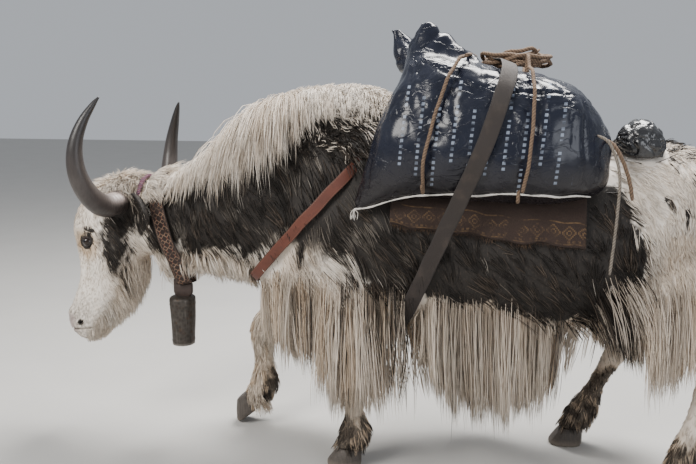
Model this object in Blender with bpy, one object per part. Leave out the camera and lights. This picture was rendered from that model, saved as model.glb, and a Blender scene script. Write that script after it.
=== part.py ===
"""A pack yak at a slow walk, head low, under its load.

It carries two full feed sacks on a saddle cloth, with straps, ropes, a collar and a bell.
The yak faces -X and stands on Z = 0, in metres. Its left side, near, is at -Y and its right, far, at +Y.
Each fleshy piece is a smooth tube through a few stations, with the locks of the long coat set on it.
"""

import math
import random

import bmesh
import bpy
from mathutils import Matrix, Vector
from mathutils.bvhtree import BVHTree
from mathutils.geometry import convex_hull_2d

GAP = 0.0004
SLIVERS = [0.0003, 0.0001, 0.00002, 0.00001, 0.000005, 0.000002]
NEAR, FAR = -1, 1
SIDES = {"near": NEAR, "far": FAR}
X, Y, Z = Vector((1, 0, 0)), Vector((0, 1, 0)), Vector((0, 0, 1))

HEAD_TURN, HEAD_ROLL = math.radians(-9.0), math.radians(-3.5)
HEAD_PIVOT = Vector((-0.84, 0.0, 0.80))
HEAD_CUT = (Vector((-0.865, 0.0, 0.80)), Vector((-1.0, 0.0, -0.10)).normalized())
NECK_CUT = (Vector((-0.395, 0.0, 0.90)), Vector((-1.0, 0.0, 0.12)).normalized())

# Each station is x, z, half width, half depth, and the share by which the upper side is narrower.
TRUNK = [
    (-0.470, 0.750, 0.070, 0.110, 0.00),
    (-0.420, 0.780, 0.150, 0.245, 0.10),
    (-0.330, 0.830, 0.205, 0.355, 0.30),
    (-0.220, 0.850, 0.250, 0.400, 0.38),
    (-0.080, 0.848, 0.278, 0.398, 0.38),
    (0.080, 0.820, 0.296, 0.375, 0.28),
    (0.250, 0.785, 0.315, 0.350, 0.14),
    (0.450, 0.765, 0.325, 0.325, 0.08),
    (0.620, 0.785, 0.318, 0.300, 0.08),
    (0.780, 0.820, 0.290, 0.275, 0.12),
    (0.920, 0.850, 0.240, 0.240, 0.16),
    (1.020, 0.860, 0.165, 0.180, 0.14),
    (1.075, 0.865, 0.070, 0.090, 0.00),
]
NECK = [
    (-0.200, 0.905, 0.205, 0.335, 0.25),
    (-0.330, 0.910, 0.195, 0.315, 0.28),
    (-0.450, 0.893, 0.178, 0.278, 0.25),
    (-0.600, 0.848, 0.150, 0.212, 0.18),
    (-0.740, 0.812, 0.130, 0.160, 0.08),
    (-0.860, 0.795, 0.116, 0.140, 0.00),
    (-0.930, 0.790, 0.090, 0.110, 0.00),
]
# The core of the mane, from poll to withers: x, z of its top and half width.
MANE = [
    (-0.815, 0.925, 0.060),
    (-0.740, 0.975, 0.080),
    (-0.660, 1.030, 0.098),
    (-0.552, 1.100, 0.116),
    (-0.470, 1.178, 0.128),
    (-0.391, 1.230, 0.138),
    (-0.300, 1.255, 0.145),
    (-0.180, 1.270, 0.150),
    (-0.060, 1.265, 0.148),
    (0.030, 1.228, 0.120),
]
MANE_DEPTH = 0.160
POLL_TUFT, POLL_TUFT_SIZE = Vector((-0.925, 0.0, 0.892)), (0.078, 0.068, 0.056)
# The head hangs, so its stations run down: z, x of the face, x of the jaw, half width, narrowing of the face.
HEAD = [
    (0.942, -0.972, -0.890, 0.034, 0.00),
    (0.925, -1.008, -0.864, 0.070, 0.00),
    (0.895, -1.062, -0.852, 0.096, 0.02),
    (0.848, -1.109, -0.855, 0.112, 0.02),
    (0.796, -1.139, -0.860, 0.120, 0.02),
    (0.747, -1.149, -0.864, 0.122, 0.04),
    (0.688, -1.141, -0.870, 0.117, 0.10),
    (0.618, -1.133, -0.888, 0.104, 0.16),
    (0.560, -1.137, -0.918, 0.092, 0.16),
    (0.510, -1.153, -0.950, 0.083, 0.10),
    (0.465, -1.174, -0.982, 0.080, 0.02),
    (0.425, -1.184, -1.010, 0.082, -0.04),
    (0.396, -1.179, -1.028, 0.078, -0.04),
    (0.380, -1.170, -1.036, 0.071, -0.02),
    (0.364, -1.164, -1.044, 0.064, 0.00),
    (0.346, -1.142, -1.062, 0.044, 0.00),
    (0.338, -1.120, -1.080, 0.022, 0.00),
]
# Leg stations run down: x, y outward, z, half width, half length fore and aft.
LEGS = {
    "foreleg_near": (NEAR, [
        (-0.150, 0.140, 0.800, 0.050, 0.090),
        (-0.130, 0.160, 0.680, 0.064, 0.105),
        (-0.100, 0.172, 0.580, 0.068, 0.098),
        (-0.085, 0.176, 0.460, 0.060, 0.074),
        (-0.092, 0.171, 0.370, 0.049, 0.052),
        (-0.097, 0.170, 0.320, 0.049, 0.050),
        (-0.092, 0.169, 0.265, 0.040, 0.040),
        (-0.088, 0.168, 0.190, 0.036, 0.035),
        (-0.084, 0.168, 0.130, 0.052, 0.056),
        (-0.092, 0.168, 0.088, 0.054, 0.058),
        (-0.102, 0.168, 0.066, 0.055, 0.060),
    ]),
    "foreleg_far": (FAR, [
        (-0.210, 0.130, 0.780, 0.050, 0.080),
        (-0.230, 0.148, 0.680, 0.056, 0.090),
        (-0.290, 0.160, 0.575, 0.064, 0.095),
        (-0.380, 0.165, 0.485, 0.060, 0.074),
        (-0.455, 0.156, 0.415, 0.050, 0.054),
        (-0.480, 0.152, 0.370, 0.050, 0.050),
        (-0.482, 0.150, 0.315, 0.041, 0.040),
        (-0.480, 0.150, 0.235, 0.036, 0.035),
        (-0.480, 0.150, 0.165, 0.052, 0.054),
        (-0.498, 0.150, 0.118, 0.054, 0.056),
        (-0.508, 0.150, 0.094, 0.054, 0.054),
    ]),
    "hindleg_near": (NEAR, [
        (0.860, 0.110, 0.860, 0.060, 0.110),
        (0.880, 0.140, 0.740, 0.080, 0.140),
        (0.915, 0.162, 0.620, 0.080, 0.130),
        (0.985, 0.166, 0.525, 0.062, 0.090),
        (1.038, 0.162, 0.450, 0.048, 0.058),
        (1.044, 0.160, 0.400, 0.046, 0.054),
        (1.026, 0.160, 0.335, 0.040, 0.043),
        (0.998, 0.160, 0.230, 0.036, 0.036),
        (0.980, 0.160, 0.140, 0.050, 0.053),
        (0.966, 0.160, 0.092, 0.052, 0.053),
        (0.956, 0.160, 0.066, 0.054, 0.056),
    ]),
    "hindleg_far": (FAR, [
        (0.790, 0.120, 0.860, 0.060, 0.110),
        (0.765, 0.150, 0.740, 0.080, 0.140),
        (0.745, 0.162, 0.620, 0.084, 0.135),
        (0.775, 0.160, 0.510, 0.064, 0.095),
        (0.806, 0.152, 0.440, 0.048, 0.060),
        (0.802, 0.147, 0.385, 0.046, 0.055),
        (0.772, 0.145, 0.320, 0.041, 0.044),
        (0.720, 0.145, 0.225, 0.036, 0.036),
        (0.680, 0.145, 0.138, 0.052, 0.058),
        (0.660, 0.145, 0.090, 0.054, 0.058),
        (0.648, 0.145, 0.066, 0.055, 0.060),
    ]),
}
# Each hoof is set by the x, y outward and z of its sole's centre, and by how far its heel is lifted.
HOOVES = {
    "hoof_fore_near": (NEAR, -0.124, 0.168, 0.0, 0.0),
    "hoof_fore_far": (FAR, -0.540, 0.150, 0.034, 38.0),
    "hoof_hind_near": (NEAR, 0.938, 0.160, 0.0, 0.0),
    "hoof_hind_far": (FAR, 0.622, 0.145, 0.0, 0.0),
}
# The dock and the core of the tail's brush: x, z, half width and half depth.
TAIL = [
    (1.020, 1.000, 0.046, 0.046),
    (1.080, 0.975, 0.046, 0.040),
    (1.110, 0.900, 0.044, 0.032),
    (1.114, 0.780, 0.046, 0.032),
    (1.112, 0.640, 0.042, 0.026),
    (1.108, 0.520, 0.022, 0.014),
]

EYE_CENTRE = Vector((-1.044, 0.101, 0.712))
EYE_RADIUS = 0.0200
LID_RADIUS = 0.0242
EYE_OPENING = (0.0195, 0.0135)
EYE_TILT = math.radians(18.0)
# The horn's middle line, from its root in the skull: outward, x and z offsets, and its radius.
HORN_ROOT = Vector((-0.925, 0.060, 0.862))
HORN = [
    (0.000, 0.000, 0.000, 0.041),
    (0.050, 0.000, -0.010, 0.041),
    (0.118, -0.004, -0.012, 0.0400),
    (0.180, -0.010, 0.020, 0.0375),
    (0.224, -0.020, 0.076, 0.0335),
    (0.244, -0.025, 0.140, 0.0290),
    (0.246, -0.019, 0.206, 0.0235),
    (0.234, 0.000, 0.270, 0.0175),
    (0.212, 0.024, 0.324, 0.0100),
    (0.198, 0.040, 0.352, 0.0030),
]
EAR_ROOT = Vector((-0.856, 0.108, 0.872))
EAR_TIP = Vector((-0.742, 0.205, 0.812))
EAR_WIDTH, EAR_CUP, EAR_THICKNESS = 0.050, 0.026, 0.006

BLANKET_X = (0.036, 0.628)
BLANKET_HEM = (0.846, 0.795)
BLANKET_THICKNESS = 0.008
# Each sack station is x, z of its lower edge, z of its upper edge and half thickness.
SACK = [
    (-0.052, 0.892, 0.906, 0.008),
    (-0.010, 0.896, 1.000, 0.050),
    (0.050, 0.908, 1.215, 0.115),
    (0.085, 0.914, 1.335, 0.150),
    (0.150, 0.916, 1.375, 0.180),
    (0.250, 0.906, 1.350, 0.200),
    (0.380, 0.900, 1.322, 0.205),
    (0.500, 0.898, 1.304, 0.200),
    (0.590, 0.912, 1.262, 0.170),
    (0.650, 0.932, 1.200, 0.115),
    (0.695, 0.980, 1.110, 0.040),
]
SACK_MIDDLE_Y, SACK_LEAN = 0.228, 0.24
# The tied corner of a sack, upward: x, y outward, z, half width and half length.
SACK_EAR = [(0.168, 0.190, 1.300, 0.110, 0.095), (0.152, 0.188, 1.375, 0.062, 0.068),
            (0.146, 0.186, 1.425, 0.030, 0.040), (0.144, 0.184, 1.462, 0.017, 0.024)]
FAR_EAR_LEAN = -0.54

# Locks: the share of a lock's width at each ring, its ridge's height as a share of its width,
# how deep its root sits, and how far it is lifted at a time, and how often, where it meets a neighbour.
LOCK_SHAPE, LOCK_RIDGE, ROOT_SINK = [0.85, 1.0, 0.72, 0.10], 0.28, 0.022
CLEARANCE, LIFT, LIFT_STEPS, SKIN_REACH = 0.0006, 0.008, 6, 0.45
# Feathering: count, width, bulge, root and tip rings (x, y outward, z, half width, half length), first turn.
FEATHERS = {
    "foreleg_near": [
        (6, 0.096, 0.045, (-0.088, 0.174, 0.450, 0.026, 0.040), (-0.062, 0.178, 0.262, 0.086, 0.144), 0.0),
        (6, 0.068, 0.025, (-0.092, 0.172, 0.370, 0.022, 0.026), (-0.064, 0.172, 0.172, 0.056, 0.084), 0.5)],
    "foreleg_far": [
        (5, 0.080, 0.025, (-0.405, 0.160, 0.455, 0.026, 0.035), (-0.415, 0.165, 0.318, 0.068, 0.088), 0.0),
        (4, 0.055, 0.012, (-0.462, 0.154, 0.400, 0.020, 0.022), (-0.450, 0.152, 0.240, 0.046, 0.050), 0.5)],
    "hindleg_near": [
        (5, 0.072, 0.018, (0.985, 0.166, 0.520, 0.030, 0.045), (1.026, 0.162, 0.325, 0.056, 0.066), 0.0)],
    "hindleg_far": [
        (5, 0.072, 0.018, (0.775, 0.160, 0.500, 0.030, 0.045), (0.792, 0.148, 0.310, 0.056, 0.068), 0.0)],
}
# Locks down each flank: count, width, bulge, roots (x, z) and tips (x, y outward, z).
FLANKS = {
    "near": [
        (10, 0.068, 0.050, [(0.150, 0.640), (0.400, 0.620), (0.640, 0.640)],
         [(0.165, 0.262, 0.330), (0.250, 0.270, 0.245), (0.400, 0.274, 0.228), (0.520, 0.272, 0.255),
          (0.630, 0.266, 0.420)]),
        (6, 0.084, 0.035, [(0.180, 0.545), (0.400, 0.520), (0.610, 0.555)],
         [(0.190, 0.228, 0.270), (0.270, 0.232, 0.222), (0.400, 0.234, 0.219), (0.500, 0.232, 0.236),
          (0.590, 0.228, 0.330)]),
        (5, 0.082, 0.045, [(0.700, 0.700), (0.850, 0.710), (0.990, 0.780)],
         [(0.690, 0.278, 0.370), (0.810, 0.288, 0.320), (0.905, 0.278, 0.350), (1.060, 0.240, 0.470)]),
        (5, 0.088, 0.045, [(-0.290, 0.720), (-0.150, 0.690), (0.020, 0.680)],
         [(-0.210, 0.262, 0.580), (-0.180, 0.272, 0.450), (-0.080, 0.276, 0.380), (0.030, 0.280, 0.400)])],
    "far": [
        (7, 0.088, 0.050, [(-0.100, 0.640), (0.200, 0.630), (0.500, 0.640)],
         [(-0.130, 0.262, 0.340), (0.020, 0.270, 0.250), (0.250, 0.274, 0.228), (0.400, 0.272, 0.245),
          (0.500, 0.266, 0.360)]),
        (4, 0.104, 0.035, [(-0.060, 0.540), (0.200, 0.520), (0.450, 0.545)],
         [(-0.080, 0.228, 0.290), (0.060, 0.232, 0.230), (0.250, 0.234, 0.222), (0.440, 0.228, 0.290)]),
        (5, 0.084, 0.045, [(0.590, 0.690), (0.780, 0.700), (0.960, 0.770)],
         [(0.560, 0.280, 0.400), (0.690, 0.290, 0.335), (0.800, 0.288, 0.330), (0.990, 0.252, 0.440)]),
        (4, 0.090, 0.045, [(-0.370, 0.740), (-0.250, 0.710), (-0.120, 0.690)],
         [(-0.400, 0.240, 0.520), (-0.280, 0.270, 0.450), (-0.150, 0.280, 0.460)])],
}
BRISKET = (3, 0.080, 0.012, [(-0.420, 0.630), (-0.330, 0.560), (-0.200, 0.520)],
           [(-0.440, 0.040, 0.450), (-0.400, 0.050, 0.345), (-0.330, 0.050, 0.312), (-0.240, 0.045, 0.340)])
THROAT = (4, 0.068, 0.020, [(-0.690, 0.740), (-0.560, 0.700), (-0.450, 0.660)],
          [(-0.675, 0.040, 0.585), (-0.600, 0.055, 0.548), (-0.520, 0.060, 0.520), (-0.455, 0.070, 0.480)])
# The mane down one side: count, width, bulge, roots (x, y outward) on the crest, tips (x, z) and their lift.
MANE_SIDE = (7, 0.094, 0.080, [(-0.800, 0.020), (-0.600, 0.025), (-0.400, 0.030)],
             [(-0.800, 0.900), (-0.684, 0.882), (-0.613, 0.915), (-0.544, 0.932), (-0.475, 0.940),
              (-0.430, 0.930)], 0.014)
# Locks along the top: count, width, bulge, roots (x, z), tips (x, z) and the rows' y.
CREST = (5, 0.078, 0.034, [(-0.840, 0.93), (-0.740, 0.98), (-0.620, 1.05), (-0.520, 1.12)],
         [(-0.760, 0.976), (-0.655, 1.050), (-0.530, 1.128), (-0.420, 1.226)], [0.0])
HUMP = (4, 0.088, 0.022, [(-0.350, 1.23), (-0.220, 1.25), (-0.090, 1.25)],
        [(-0.275, 1.275), (-0.150, 1.287), (-0.015, 1.262)], [-0.060, 0.060])
RUMP = (2, 0.085, 0.020, [(0.800, 1.08), (0.900, 1.07), (0.990, 1.02)],
        [(0.880, 1.112), (0.975, 1.082), (1.050, 1.020)], [-0.065, 0.065])
POLL_LOCKS = (3, 0.060, 0.026, [(-0.885, 0.93), (-0.930, 0.93), (-0.965, 0.91)],
              [(-0.915, 0.970), (-0.970, 0.958), (-1.026, 0.912)], [-0.036, 0.036])
BEARD = [
    (4, 0.058, 0.016, [(-0.905, 0.600), (-0.945, 0.545), (-1.010, 0.455)],
     [(-0.858, 0.040, 0.440), (-0.900, 0.040, 0.335), (-0.960, 0.034, 0.346), (-1.045, 0.032, 0.356)]),
    (2, 0.062, 0.014, [(-0.885, 0.690), (-0.905, 0.620)], [(-0.834, 0.050, 0.560), (-0.848, 0.045, 0.470)]),
]
# The tail's locks, as feathering.
TAIL_LOCKS = [
    (5, 0.080, 0.030, (1.108, 0.000, 0.900, 0.020, 0.014), (1.116, 0.000, 0.560, 0.090, 0.044), 0.0),
    (4, 0.080, 0.024, (1.110, 0.000, 0.720, 0.020, 0.014), (1.108, 0.000, 0.370, 0.050, 0.026), 0.5),
]

BELL_AXIS = (-0.732, -0.030)
BELL_TOP, BELL_MOUTH = 0.526, 0.350
BELL_TOP_RADIUS, BELL_MOUTH_RADIUS, BELL_WALL = 0.052, 0.043, 0.004


# Each strap lies in one plane, given by a point and a normal.
GIRTH_PLANE = (Vector((0.350, -0.120, 1.297)), Vector((1.0, 0.151, -0.376)).normalized())
BREAST_PLANE = (Vector((-0.280, 0.0, 0.800)), Vector((1.0, 0.0, -0.930)).normalized())
COLLAR_PLANE = (Vector((-0.766, 0.0, 0.800)), Vector((1.0, 0.0, 0.240)).normalized())
POLL_PLANE = (Vector((-0.852, 0.0, 0.850)), Vector((1.0, 0.0, 0.040)).normalized())
BREAST_TOP, COLLAR_LOW = 1.045, (-0.712, 0.572)
# A sack rope starts on top at x and runs down its side: x gains with y outward and with z.
SACK_ROPES = {"sack_rope_front": (0.292, -0.290, 0.220), "sack_rope_rear": (0.412, 0.190, 0.100)}
SACK_ROPE_TOP, ROPE_RADIUS = (0.120, 1.300), 0.006
COIL_CENTRE, COIL_RADIUS = Vector((0.400, -0.005, 1.348)), 0.082
# The bag's stations: x, y outward on the near side, z, half width and half depth.
BAG = [
    (0.716, 0.110, 1.095, 0.020, 0.022),
    (0.735, 0.105, 1.090, 0.052, 0.052),
    (0.775, 0.100, 1.095, 0.078, 0.074),
    (0.820, 0.098, 1.090, 0.076, 0.072),
    (0.855, 0.098, 1.080, 0.052, 0.050),
    (0.868, 0.098, 1.075, 0.020, 0.020),
]


def clear_scene():
    for item in list(bpy.data.objects):
        bpy.data.objects.remove(item, do_unlink=True)


def new_collection(name):
    collection = bpy.data.collections.new(name)
    bpy.context.scene.collection.children.link(collection)
    return collection


clear_scene()
YAK = new_collection("yak")
CUTTERS = new_collection("cutters")


def finish(name, colour, roughness, metallic=0.0):
    material = bpy.data.materials.new(name)
    material.use_nodes = True
    shader = material.node_tree.nodes["Principled BSDF"]
    shader.inputs["Base Color"].default_value = (*colour, 1.0)
    shader.inputs["Roughness"].default_value = roughness
    shader.inputs["Metallic"].default_value = metallic
    return material


# Forms

def ring(centre, across, along, half_across, half_along, narrowing=0.0, sides=20, power=2.2):
    """A rounded section: narrowing draws in the side that along points to."""
    points = []
    for k in range(sides):
        turn = 2 * math.pi * k / sides
        c = math.copysign(abs(math.cos(turn)) ** (2 / power), math.cos(turn))
        s = math.copysign(abs(math.sin(turn)) ** (2 / power), math.sin(turn))
        width = half_across * (1 - narrowing * max(0.0, s))
        points.append(centre + across * (width * c) + along * (half_along * s))
    return points


def loft(rings, closed=False):
    """One closed skin through rings of equal count, capped unless the last ring joins the first."""
    form = bmesh.new()
    rows = [[form.verts.new(point) for point in points] for points in rings]
    pairs = list(zip(rows, rows[1:]))
    if closed:
        pairs.append((rows[-1], rows[0]))
    for low, high in pairs:
        for k in range(len(low)):
            n = (k + 1) % len(low)
            form.faces.new((low[k], low[n], high[n]))
            form.faces.new((low[k], high[n], high[k]))
    if not closed:
        form.faces.new(rows[0])
        form.faces.new(rows[-1])
    bmesh.ops.triangulate(form, faces=[face for face in form.faces if len(face.verts) > 3])
    bmesh.ops.recalc_face_normals(form, faces=form.faces)
    return form


def place(form, name="piece", collection=None):
    mesh = bpy.data.meshes.new(name)
    form.to_mesh(mesh)
    form.free()
    piece = bpy.data.objects.new(name, mesh)
    (collection or CUTTERS).objects.link(piece)
    return piece


def trunk_rings(stations, grow=0.0, sides=24):
    first, last = stations[0][0], stations[-1][0]
    rings = []
    for x, z, half_width, half_depth, narrowing in stations:
        end = grow * ((x == max(first, last)) - (x == min(first, last)))
        centre = Vector((x + end, 0, z))
        rings.append(ring(centre, Y, Z, half_width + grow, half_depth + grow, narrowing, sides))
    return rings


def head_rings(grow=0.0, stations=HEAD, sides=24):
    rings = []
    for z, face, jaw, half_width, narrowing in stations:
        centre = Vector(((face + jaw) / 2, 0, z))
        rings.append(ring(centre, Y, -X, half_width + grow, (jaw - face) / 2 + grow, narrowing, sides, 2.35))
    return rings


def leg_rings(side, stations, grow=0.0, sides=14):
    rings = []
    for x, out, z, half_width, half_length in stations:
        centre = Vector((x, side * out, z))
        rings.append(ring(centre, Y, X, half_width + grow, half_length + grow, 0.0, sides))
    return rings


def head_turning():
    turn = Matrix.Rotation(HEAD_TURN, 4, "Z") @ Matrix.Rotation(HEAD_ROLL, 4, "X")
    return Matrix.Translation(HEAD_PIVOT) @ turn @ Matrix.Translation(-HEAD_PIVOT)


def turn_head(piece):
    piece.data.transform(head_turning())
    return piece


def mirrored(point, side):
    return Vector((point[0], side * point[1], point[2]))


# Joining and cutting

def evaluated(piece):
    """Apply the piece's modifiers and keep its largest closed surface."""
    graph = bpy.context.evaluated_depsgraph_get()
    mesh = bpy.data.meshes.new_from_object(piece.evaluated_get(graph))
    piece.modifiers.clear()
    piece.data = mesh
    keep_largest(piece)
    return piece


def shells(form):
    left = set(form.faces)
    while left:
        group = [left.pop()]
        for face in group:
            for edge in face.edges:
                for other in edge.link_faces:
                    if other in left:
                        left.remove(other)
                        group.append(other)
        yield group


def shell_volume(faces):
    total = 0.0
    for face in faces:
        a = face.verts[0].co
        for b, c in zip(face.verts[1:], face.verts[2:]):
            total += a.dot(b.co.cross(c.co)) / 6
    return total


def keep_largest(piece):
    form = bmesh.new()
    form.from_mesh(piece.data)
    groups = sorted(shells(form), key=shell_volume, reverse=True)
    dropped = [face for group in groups[1:] for face in group]
    bmesh.ops.delete(form, geom=dropped, context="FACES")
    loose = [vert for vert in form.verts if not vert.link_faces]
    bmesh.ops.delete(form, geom=loose, context="VERTS")
    form.to_mesh(piece.data)
    form.free()


def combine(piece, others, operation, solver="MANIFOLD"):
    """One Boolean of the piece with a whole collection, which is then removed."""
    group = new_collection("operands")
    for other in others:
        group.objects.link(other)
    modifier = piece.modifiers.new("combine", "BOOLEAN")
    modifier.operation = operation
    modifier.operand_type = "COLLECTION"
    modifier.collection = group
    modifier.solver = solver
    evaluated(piece)
    for other in others:
        bpy.data.objects.remove(other, do_unlink=True)
    bpy.data.collections.remove(group)
    return piece


def fuse(pieces, solver="MANIFOLD"):
    return combine(pieces[0], pieces[1:], "UNION", solver) if len(pieces) > 1 else pieces[0]


def cut(piece, cutters, solver="MANIFOLD"):
    return combine(piece, cutters, "DIFFERENCE", solver)


def beyond(point, normal, shift=0.0, size=4.0):
    """A block that fills the side of a plane that its normal points to."""
    form = bmesh.new()
    bmesh.ops.create_cube(form, size=size)
    turn = normal.to_track_quat("Z", "Y").to_matrix().to_4x4()
    centre = point + normal * (size / 2 + shift)
    bmesh.ops.transform(form, matrix=Matrix.Translation(centre) @ turn, verts=form.verts)
    return place(form)


def copy_of(piece):
    copy = bpy.data.objects.new(piece.name, piece.data.copy())
    CUTTERS.objects.link(copy)
    return copy


def grown(piece, amount):
    """A copy of a piece whose faces all stand out by the amount, to cut its neighbours clear of it."""
    form = bmesh.new()
    form.from_mesh(piece.data)
    form.normal_update()
    moves = [vert.normal * amount * min(vert.calc_shell_factor(), 2.0) for vert in form.verts]
    for vert, move in zip(form.verts, moves):
        vert.co += move
    return place(form)


def ball(centre, radii, turn=None, segments=14, rows=9):
    form = bmesh.new()
    bmesh.ops.create_uvsphere(form, u_segments=segments, v_segments=rows, radius=1.0)
    size = Matrix.Diagonal((*radii, 1.0))
    bmesh.ops.transform(form, matrix=Matrix.Translation(centre) @ (turn or Matrix()) @ size, verts=form.verts)
    return place(form)


def closed_everywhere(form):
    return all(len(edge.link_faces) == 2 for edge in form.edges)


def tidied(piece):
    """Take out the slivers that cutting leaves, where the piece stays closed without them."""
    for sliver in SLIVERS:
        form = bmesh.new()
        form.from_mesh(piece.data)
        bmesh.ops.triangulate(form, faces=form.faces)
        bmesh.ops.remove_doubles(form, verts=form.verts, dist=sliver / 4)
        bmesh.ops.dissolve_degenerate(form, dist=sliver, edges=form.edges)
        bmesh.ops.triangulate(form, faces=form.faces)
        closed = closed_everywhere(form)
        if closed:
            form.to_mesh(piece.data)
        form.free()
        if closed:
            keep_largest(piece)
            return piece
    return piece


def keep(piece, name, material):
    """Hand a finished piece over as a node of the yak."""
    tidied(piece)
    for collection in list(piece.users_collection):
        collection.objects.unlink(piece)
    YAK.objects.link(piece)
    piece.name = name
    piece.data.name = name
    piece.data.materials.clear()
    piece.data.materials.append(material)
    for polygon in piece.data.polygons:
        polygon.material_index = 0
    piece.data.shade_smooth()
    piece.data.set_sharp_from_angle(angle=math.radians(50))
    return piece


# Locks

def along(guide, share):
    """The point at a share of the way along a guide."""
    place_on = share * (len(guide) - 1)
    k = min(int(place_on), len(guide) - 2)
    return Vector(guide[k]).lerp(Vector(guide[k + 1]), place_on - k)


def bent_path(root, tip, out, bulge, steps):
    """From root to tip in a bow that leans outward."""
    middle = root.lerp(tip, 0.45) + out * bulge
    points = []
    for k in range(steps):
        t = k / (steps - 1)
        points.append(root * (1 - t) ** 2 + middle * (2 * t * (1 - t)) + tip * t ** 2)
    return points


def lock(root, tip, out, bulge, width):
    """A flat lock, ridged along its outer face, that narrows to its tip."""
    path = bent_path(root, tip, out, bulge, len(LOCK_SHAPE))
    rings = []
    for k, point in enumerate(path):
        tangent = (path[min(k + 1, len(path) - 1)] - path[max(k - 1, 0)]).normalized()
        across = tangent.cross(out).normalized()
        ridge = across.cross(tangent) * (width * LOCK_RIDGE * (0.35 + 0.65 * LOCK_SHAPE[k]))
        half = across * (width / 2 * LOCK_SHAPE[k])
        rings.append([point - half, point + half, point + ridge])
    return loft(rings)


def tree_of(piece):
    """What a lock has to stay clear of, a little larger than the piece."""
    thick = grown(piece, CLEARANCE)
    tree = BVHTree.FromPolygons([vert.co for vert in thick.data.vertices],
                                [face.vertices[:] for face in thick.data.polygons])
    bpy.data.objects.remove(thick, do_unlink=True)
    return tree


class Coat:
    """Locks set on one body, each bent outward until it clears its neighbours."""

    def __init__(self, body, neighbours, seed, turn=None):
        self.body = body
        self.turn = turn or Matrix()
        self.surface = BVHTree.FromPolygons([vert.co for vert in body.data.vertices],
                                            [face.vertices[:] for face in body.data.polygons])
        self.neighbours = [tree_of(piece) for piece in neighbours]
        self.random = random.Random(seed)
        self.pieces = []

    def vary(self, amount):
        return 1 + self.random.uniform(-amount, amount)

    def jitter(self, amount):
        return self.random.uniform(-amount, amount)

    def grow(self, root, tip, out, bulge, width):
        """Add one lock, lifted in steps where it crosses a neighbour, or leave it out if it can't clear."""
        width *= self.vary(0.12)
        bulge *= self.vary(0.20)
        for step in range(LIFT_STEPS):
            lift = LIFT * step
            form = lock(root, tip + out * lift, out, bulge + lift, width)
            own = BVHTree.FromBMesh(form)
            if not any(own.overlap(tree) for tree in self.neighbours):
                self.pieces.append(place(form))
                return
            form.free()

    def skin(self, point, inward, depth):
        """Under the skin by the depth, where a look inward through the point meets it."""
        point = self.turn @ point
        inward = self.turn.to_3x3() @ inward
        hit = self.surface.ray_cast(point - inward * SKIN_REACH, inward, 2 * SKIN_REACH)[0]
        return (hit or point) + inward * depth

    def flank(self, side, count, width, bulge, roots, tips):
        """Locks down one flank."""
        out = Vector((0, side, 0))
        for k in range(count):
            share = (k + 0.5) / count
            x, z = along([(x, z, 0) for x, z in roots], share).xy
            tip = mirrored(along(tips, share), side)
            tip += Vector((self.jitter(0.12) * width, 0, self.jitter(0.016)))
            root = self.skin(Vector((x, 0, z)), -out, ROOT_SINK)
            self.grow(root, self.turn @ tip, self.turn.to_3x3() @ out, bulge, width)

    def mane(self, side, count, width, bulge, roots, tips, lift):
        """Locks from the crest down over one side of the neck."""
        out = Vector((0, side, 0))
        over = Vector((0, side * 0.75, 0.66)).normalized()
        for k in range(count):
            share = (k + 0.5) / count
            x, y = along([(x, side * y, 0) for x, y in roots], share).xy
            tip_x, tip_z = along([(x, z, 0) for x, z in tips], share).xy
            tip = self.skin(Vector((tip_x, 0, tip_z + self.jitter(0.014))), -out, -lift)
            self.grow(self.skin(Vector((x, y, 1.0)), -Z, ROOT_SINK), tip, over, bulge, width)

    def top(self, count, width, bulge, roots, tips, rows):
        """Locks that lie back along the top, in rows."""
        for y in rows:
            for k in range(count):
                share = (k + 0.5) / count
                x, z = along([(x, z, 0) for x, z in roots], share).xy
                tip_x, tip_z = along([(x, z, 0) for x, z in tips], share).xy
                root = self.skin(Vector((x, y * 0.6, z)), -Z, ROOT_SINK)
                tip = Vector((tip_x, y, tip_z - abs(y) * 0.25 + self.jitter(0.005)))
                self.grow(root, tip, Z, bulge, width)

    def feathers(self, side, count, width, bulge, root_ring, tip_ring, first):
        """Locks all round a leg or the tail."""
        for k in range(count):
            turn = 2 * math.pi * (k + first) / count
            away = Vector((math.cos(turn), math.sin(turn), 0))
            ends = []
            for x, out, z, half_width, half_length in (root_ring, tip_ring):
                ends.append(Vector((x + half_length * away.x, side * out + half_width * away.y, z)))
            ends[1].z += self.jitter(0.014)
            self.grow(ends[0], ends[1], away, bulge, width)

    def fused(self):
        return fuse([self.body] + self.pieces)


def torso_neck_head():
    """The trunk, neck and head are one form, parted by two thin cuts."""
    mane = [ring(Vector((x, 0, top - MANE_DEPTH)), Y, Z, half_width, MANE_DEPTH, 0.0, 12)
            for x, top, half_width in MANE]
    whole = fuse([place(loft(trunk_rings(TRUNK))), place(loft(trunk_rings(NECK, 0.0, 16))),
                  turn_head(place(loft(head_rings(0.0, HEAD, 20)))), place(loft(mane)),
                  ball(POLL_TUFT, POLL_TUFT_SIZE, None, 10, 7)])
    head = cut(copy_of(whole), [beyond(HEAD_CUT[0], -HEAD_CUT[1], -GAP / 2)])
    neck = cut(copy_of(whole), [beyond(HEAD_CUT[0], HEAD_CUT[1], -GAP / 2),
                                beyond(NECK_CUT[0], -NECK_CUT[1], -GAP / 2)])
    torso = cut(copy_of(whole), [beyond(NECK_CUT[0], NECK_CUT[1], -GAP / 2)])
    bpy.data.objects.remove(whole, do_unlink=True)
    return torso, neck, head


def eye_frame(side):
    """Axes of an eye: outward from the head, forward along the opening and up."""
    outward = Vector((-0.42, side * 0.90, 0.06)).normalized()
    forward = (-X - outward * (-X).dot(outward)).normalized()
    forward.rotate(Matrix.Rotation(-side * EYE_TILT, 3, outward))
    up = forward.cross(outward) * side
    return outward, forward, up


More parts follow.
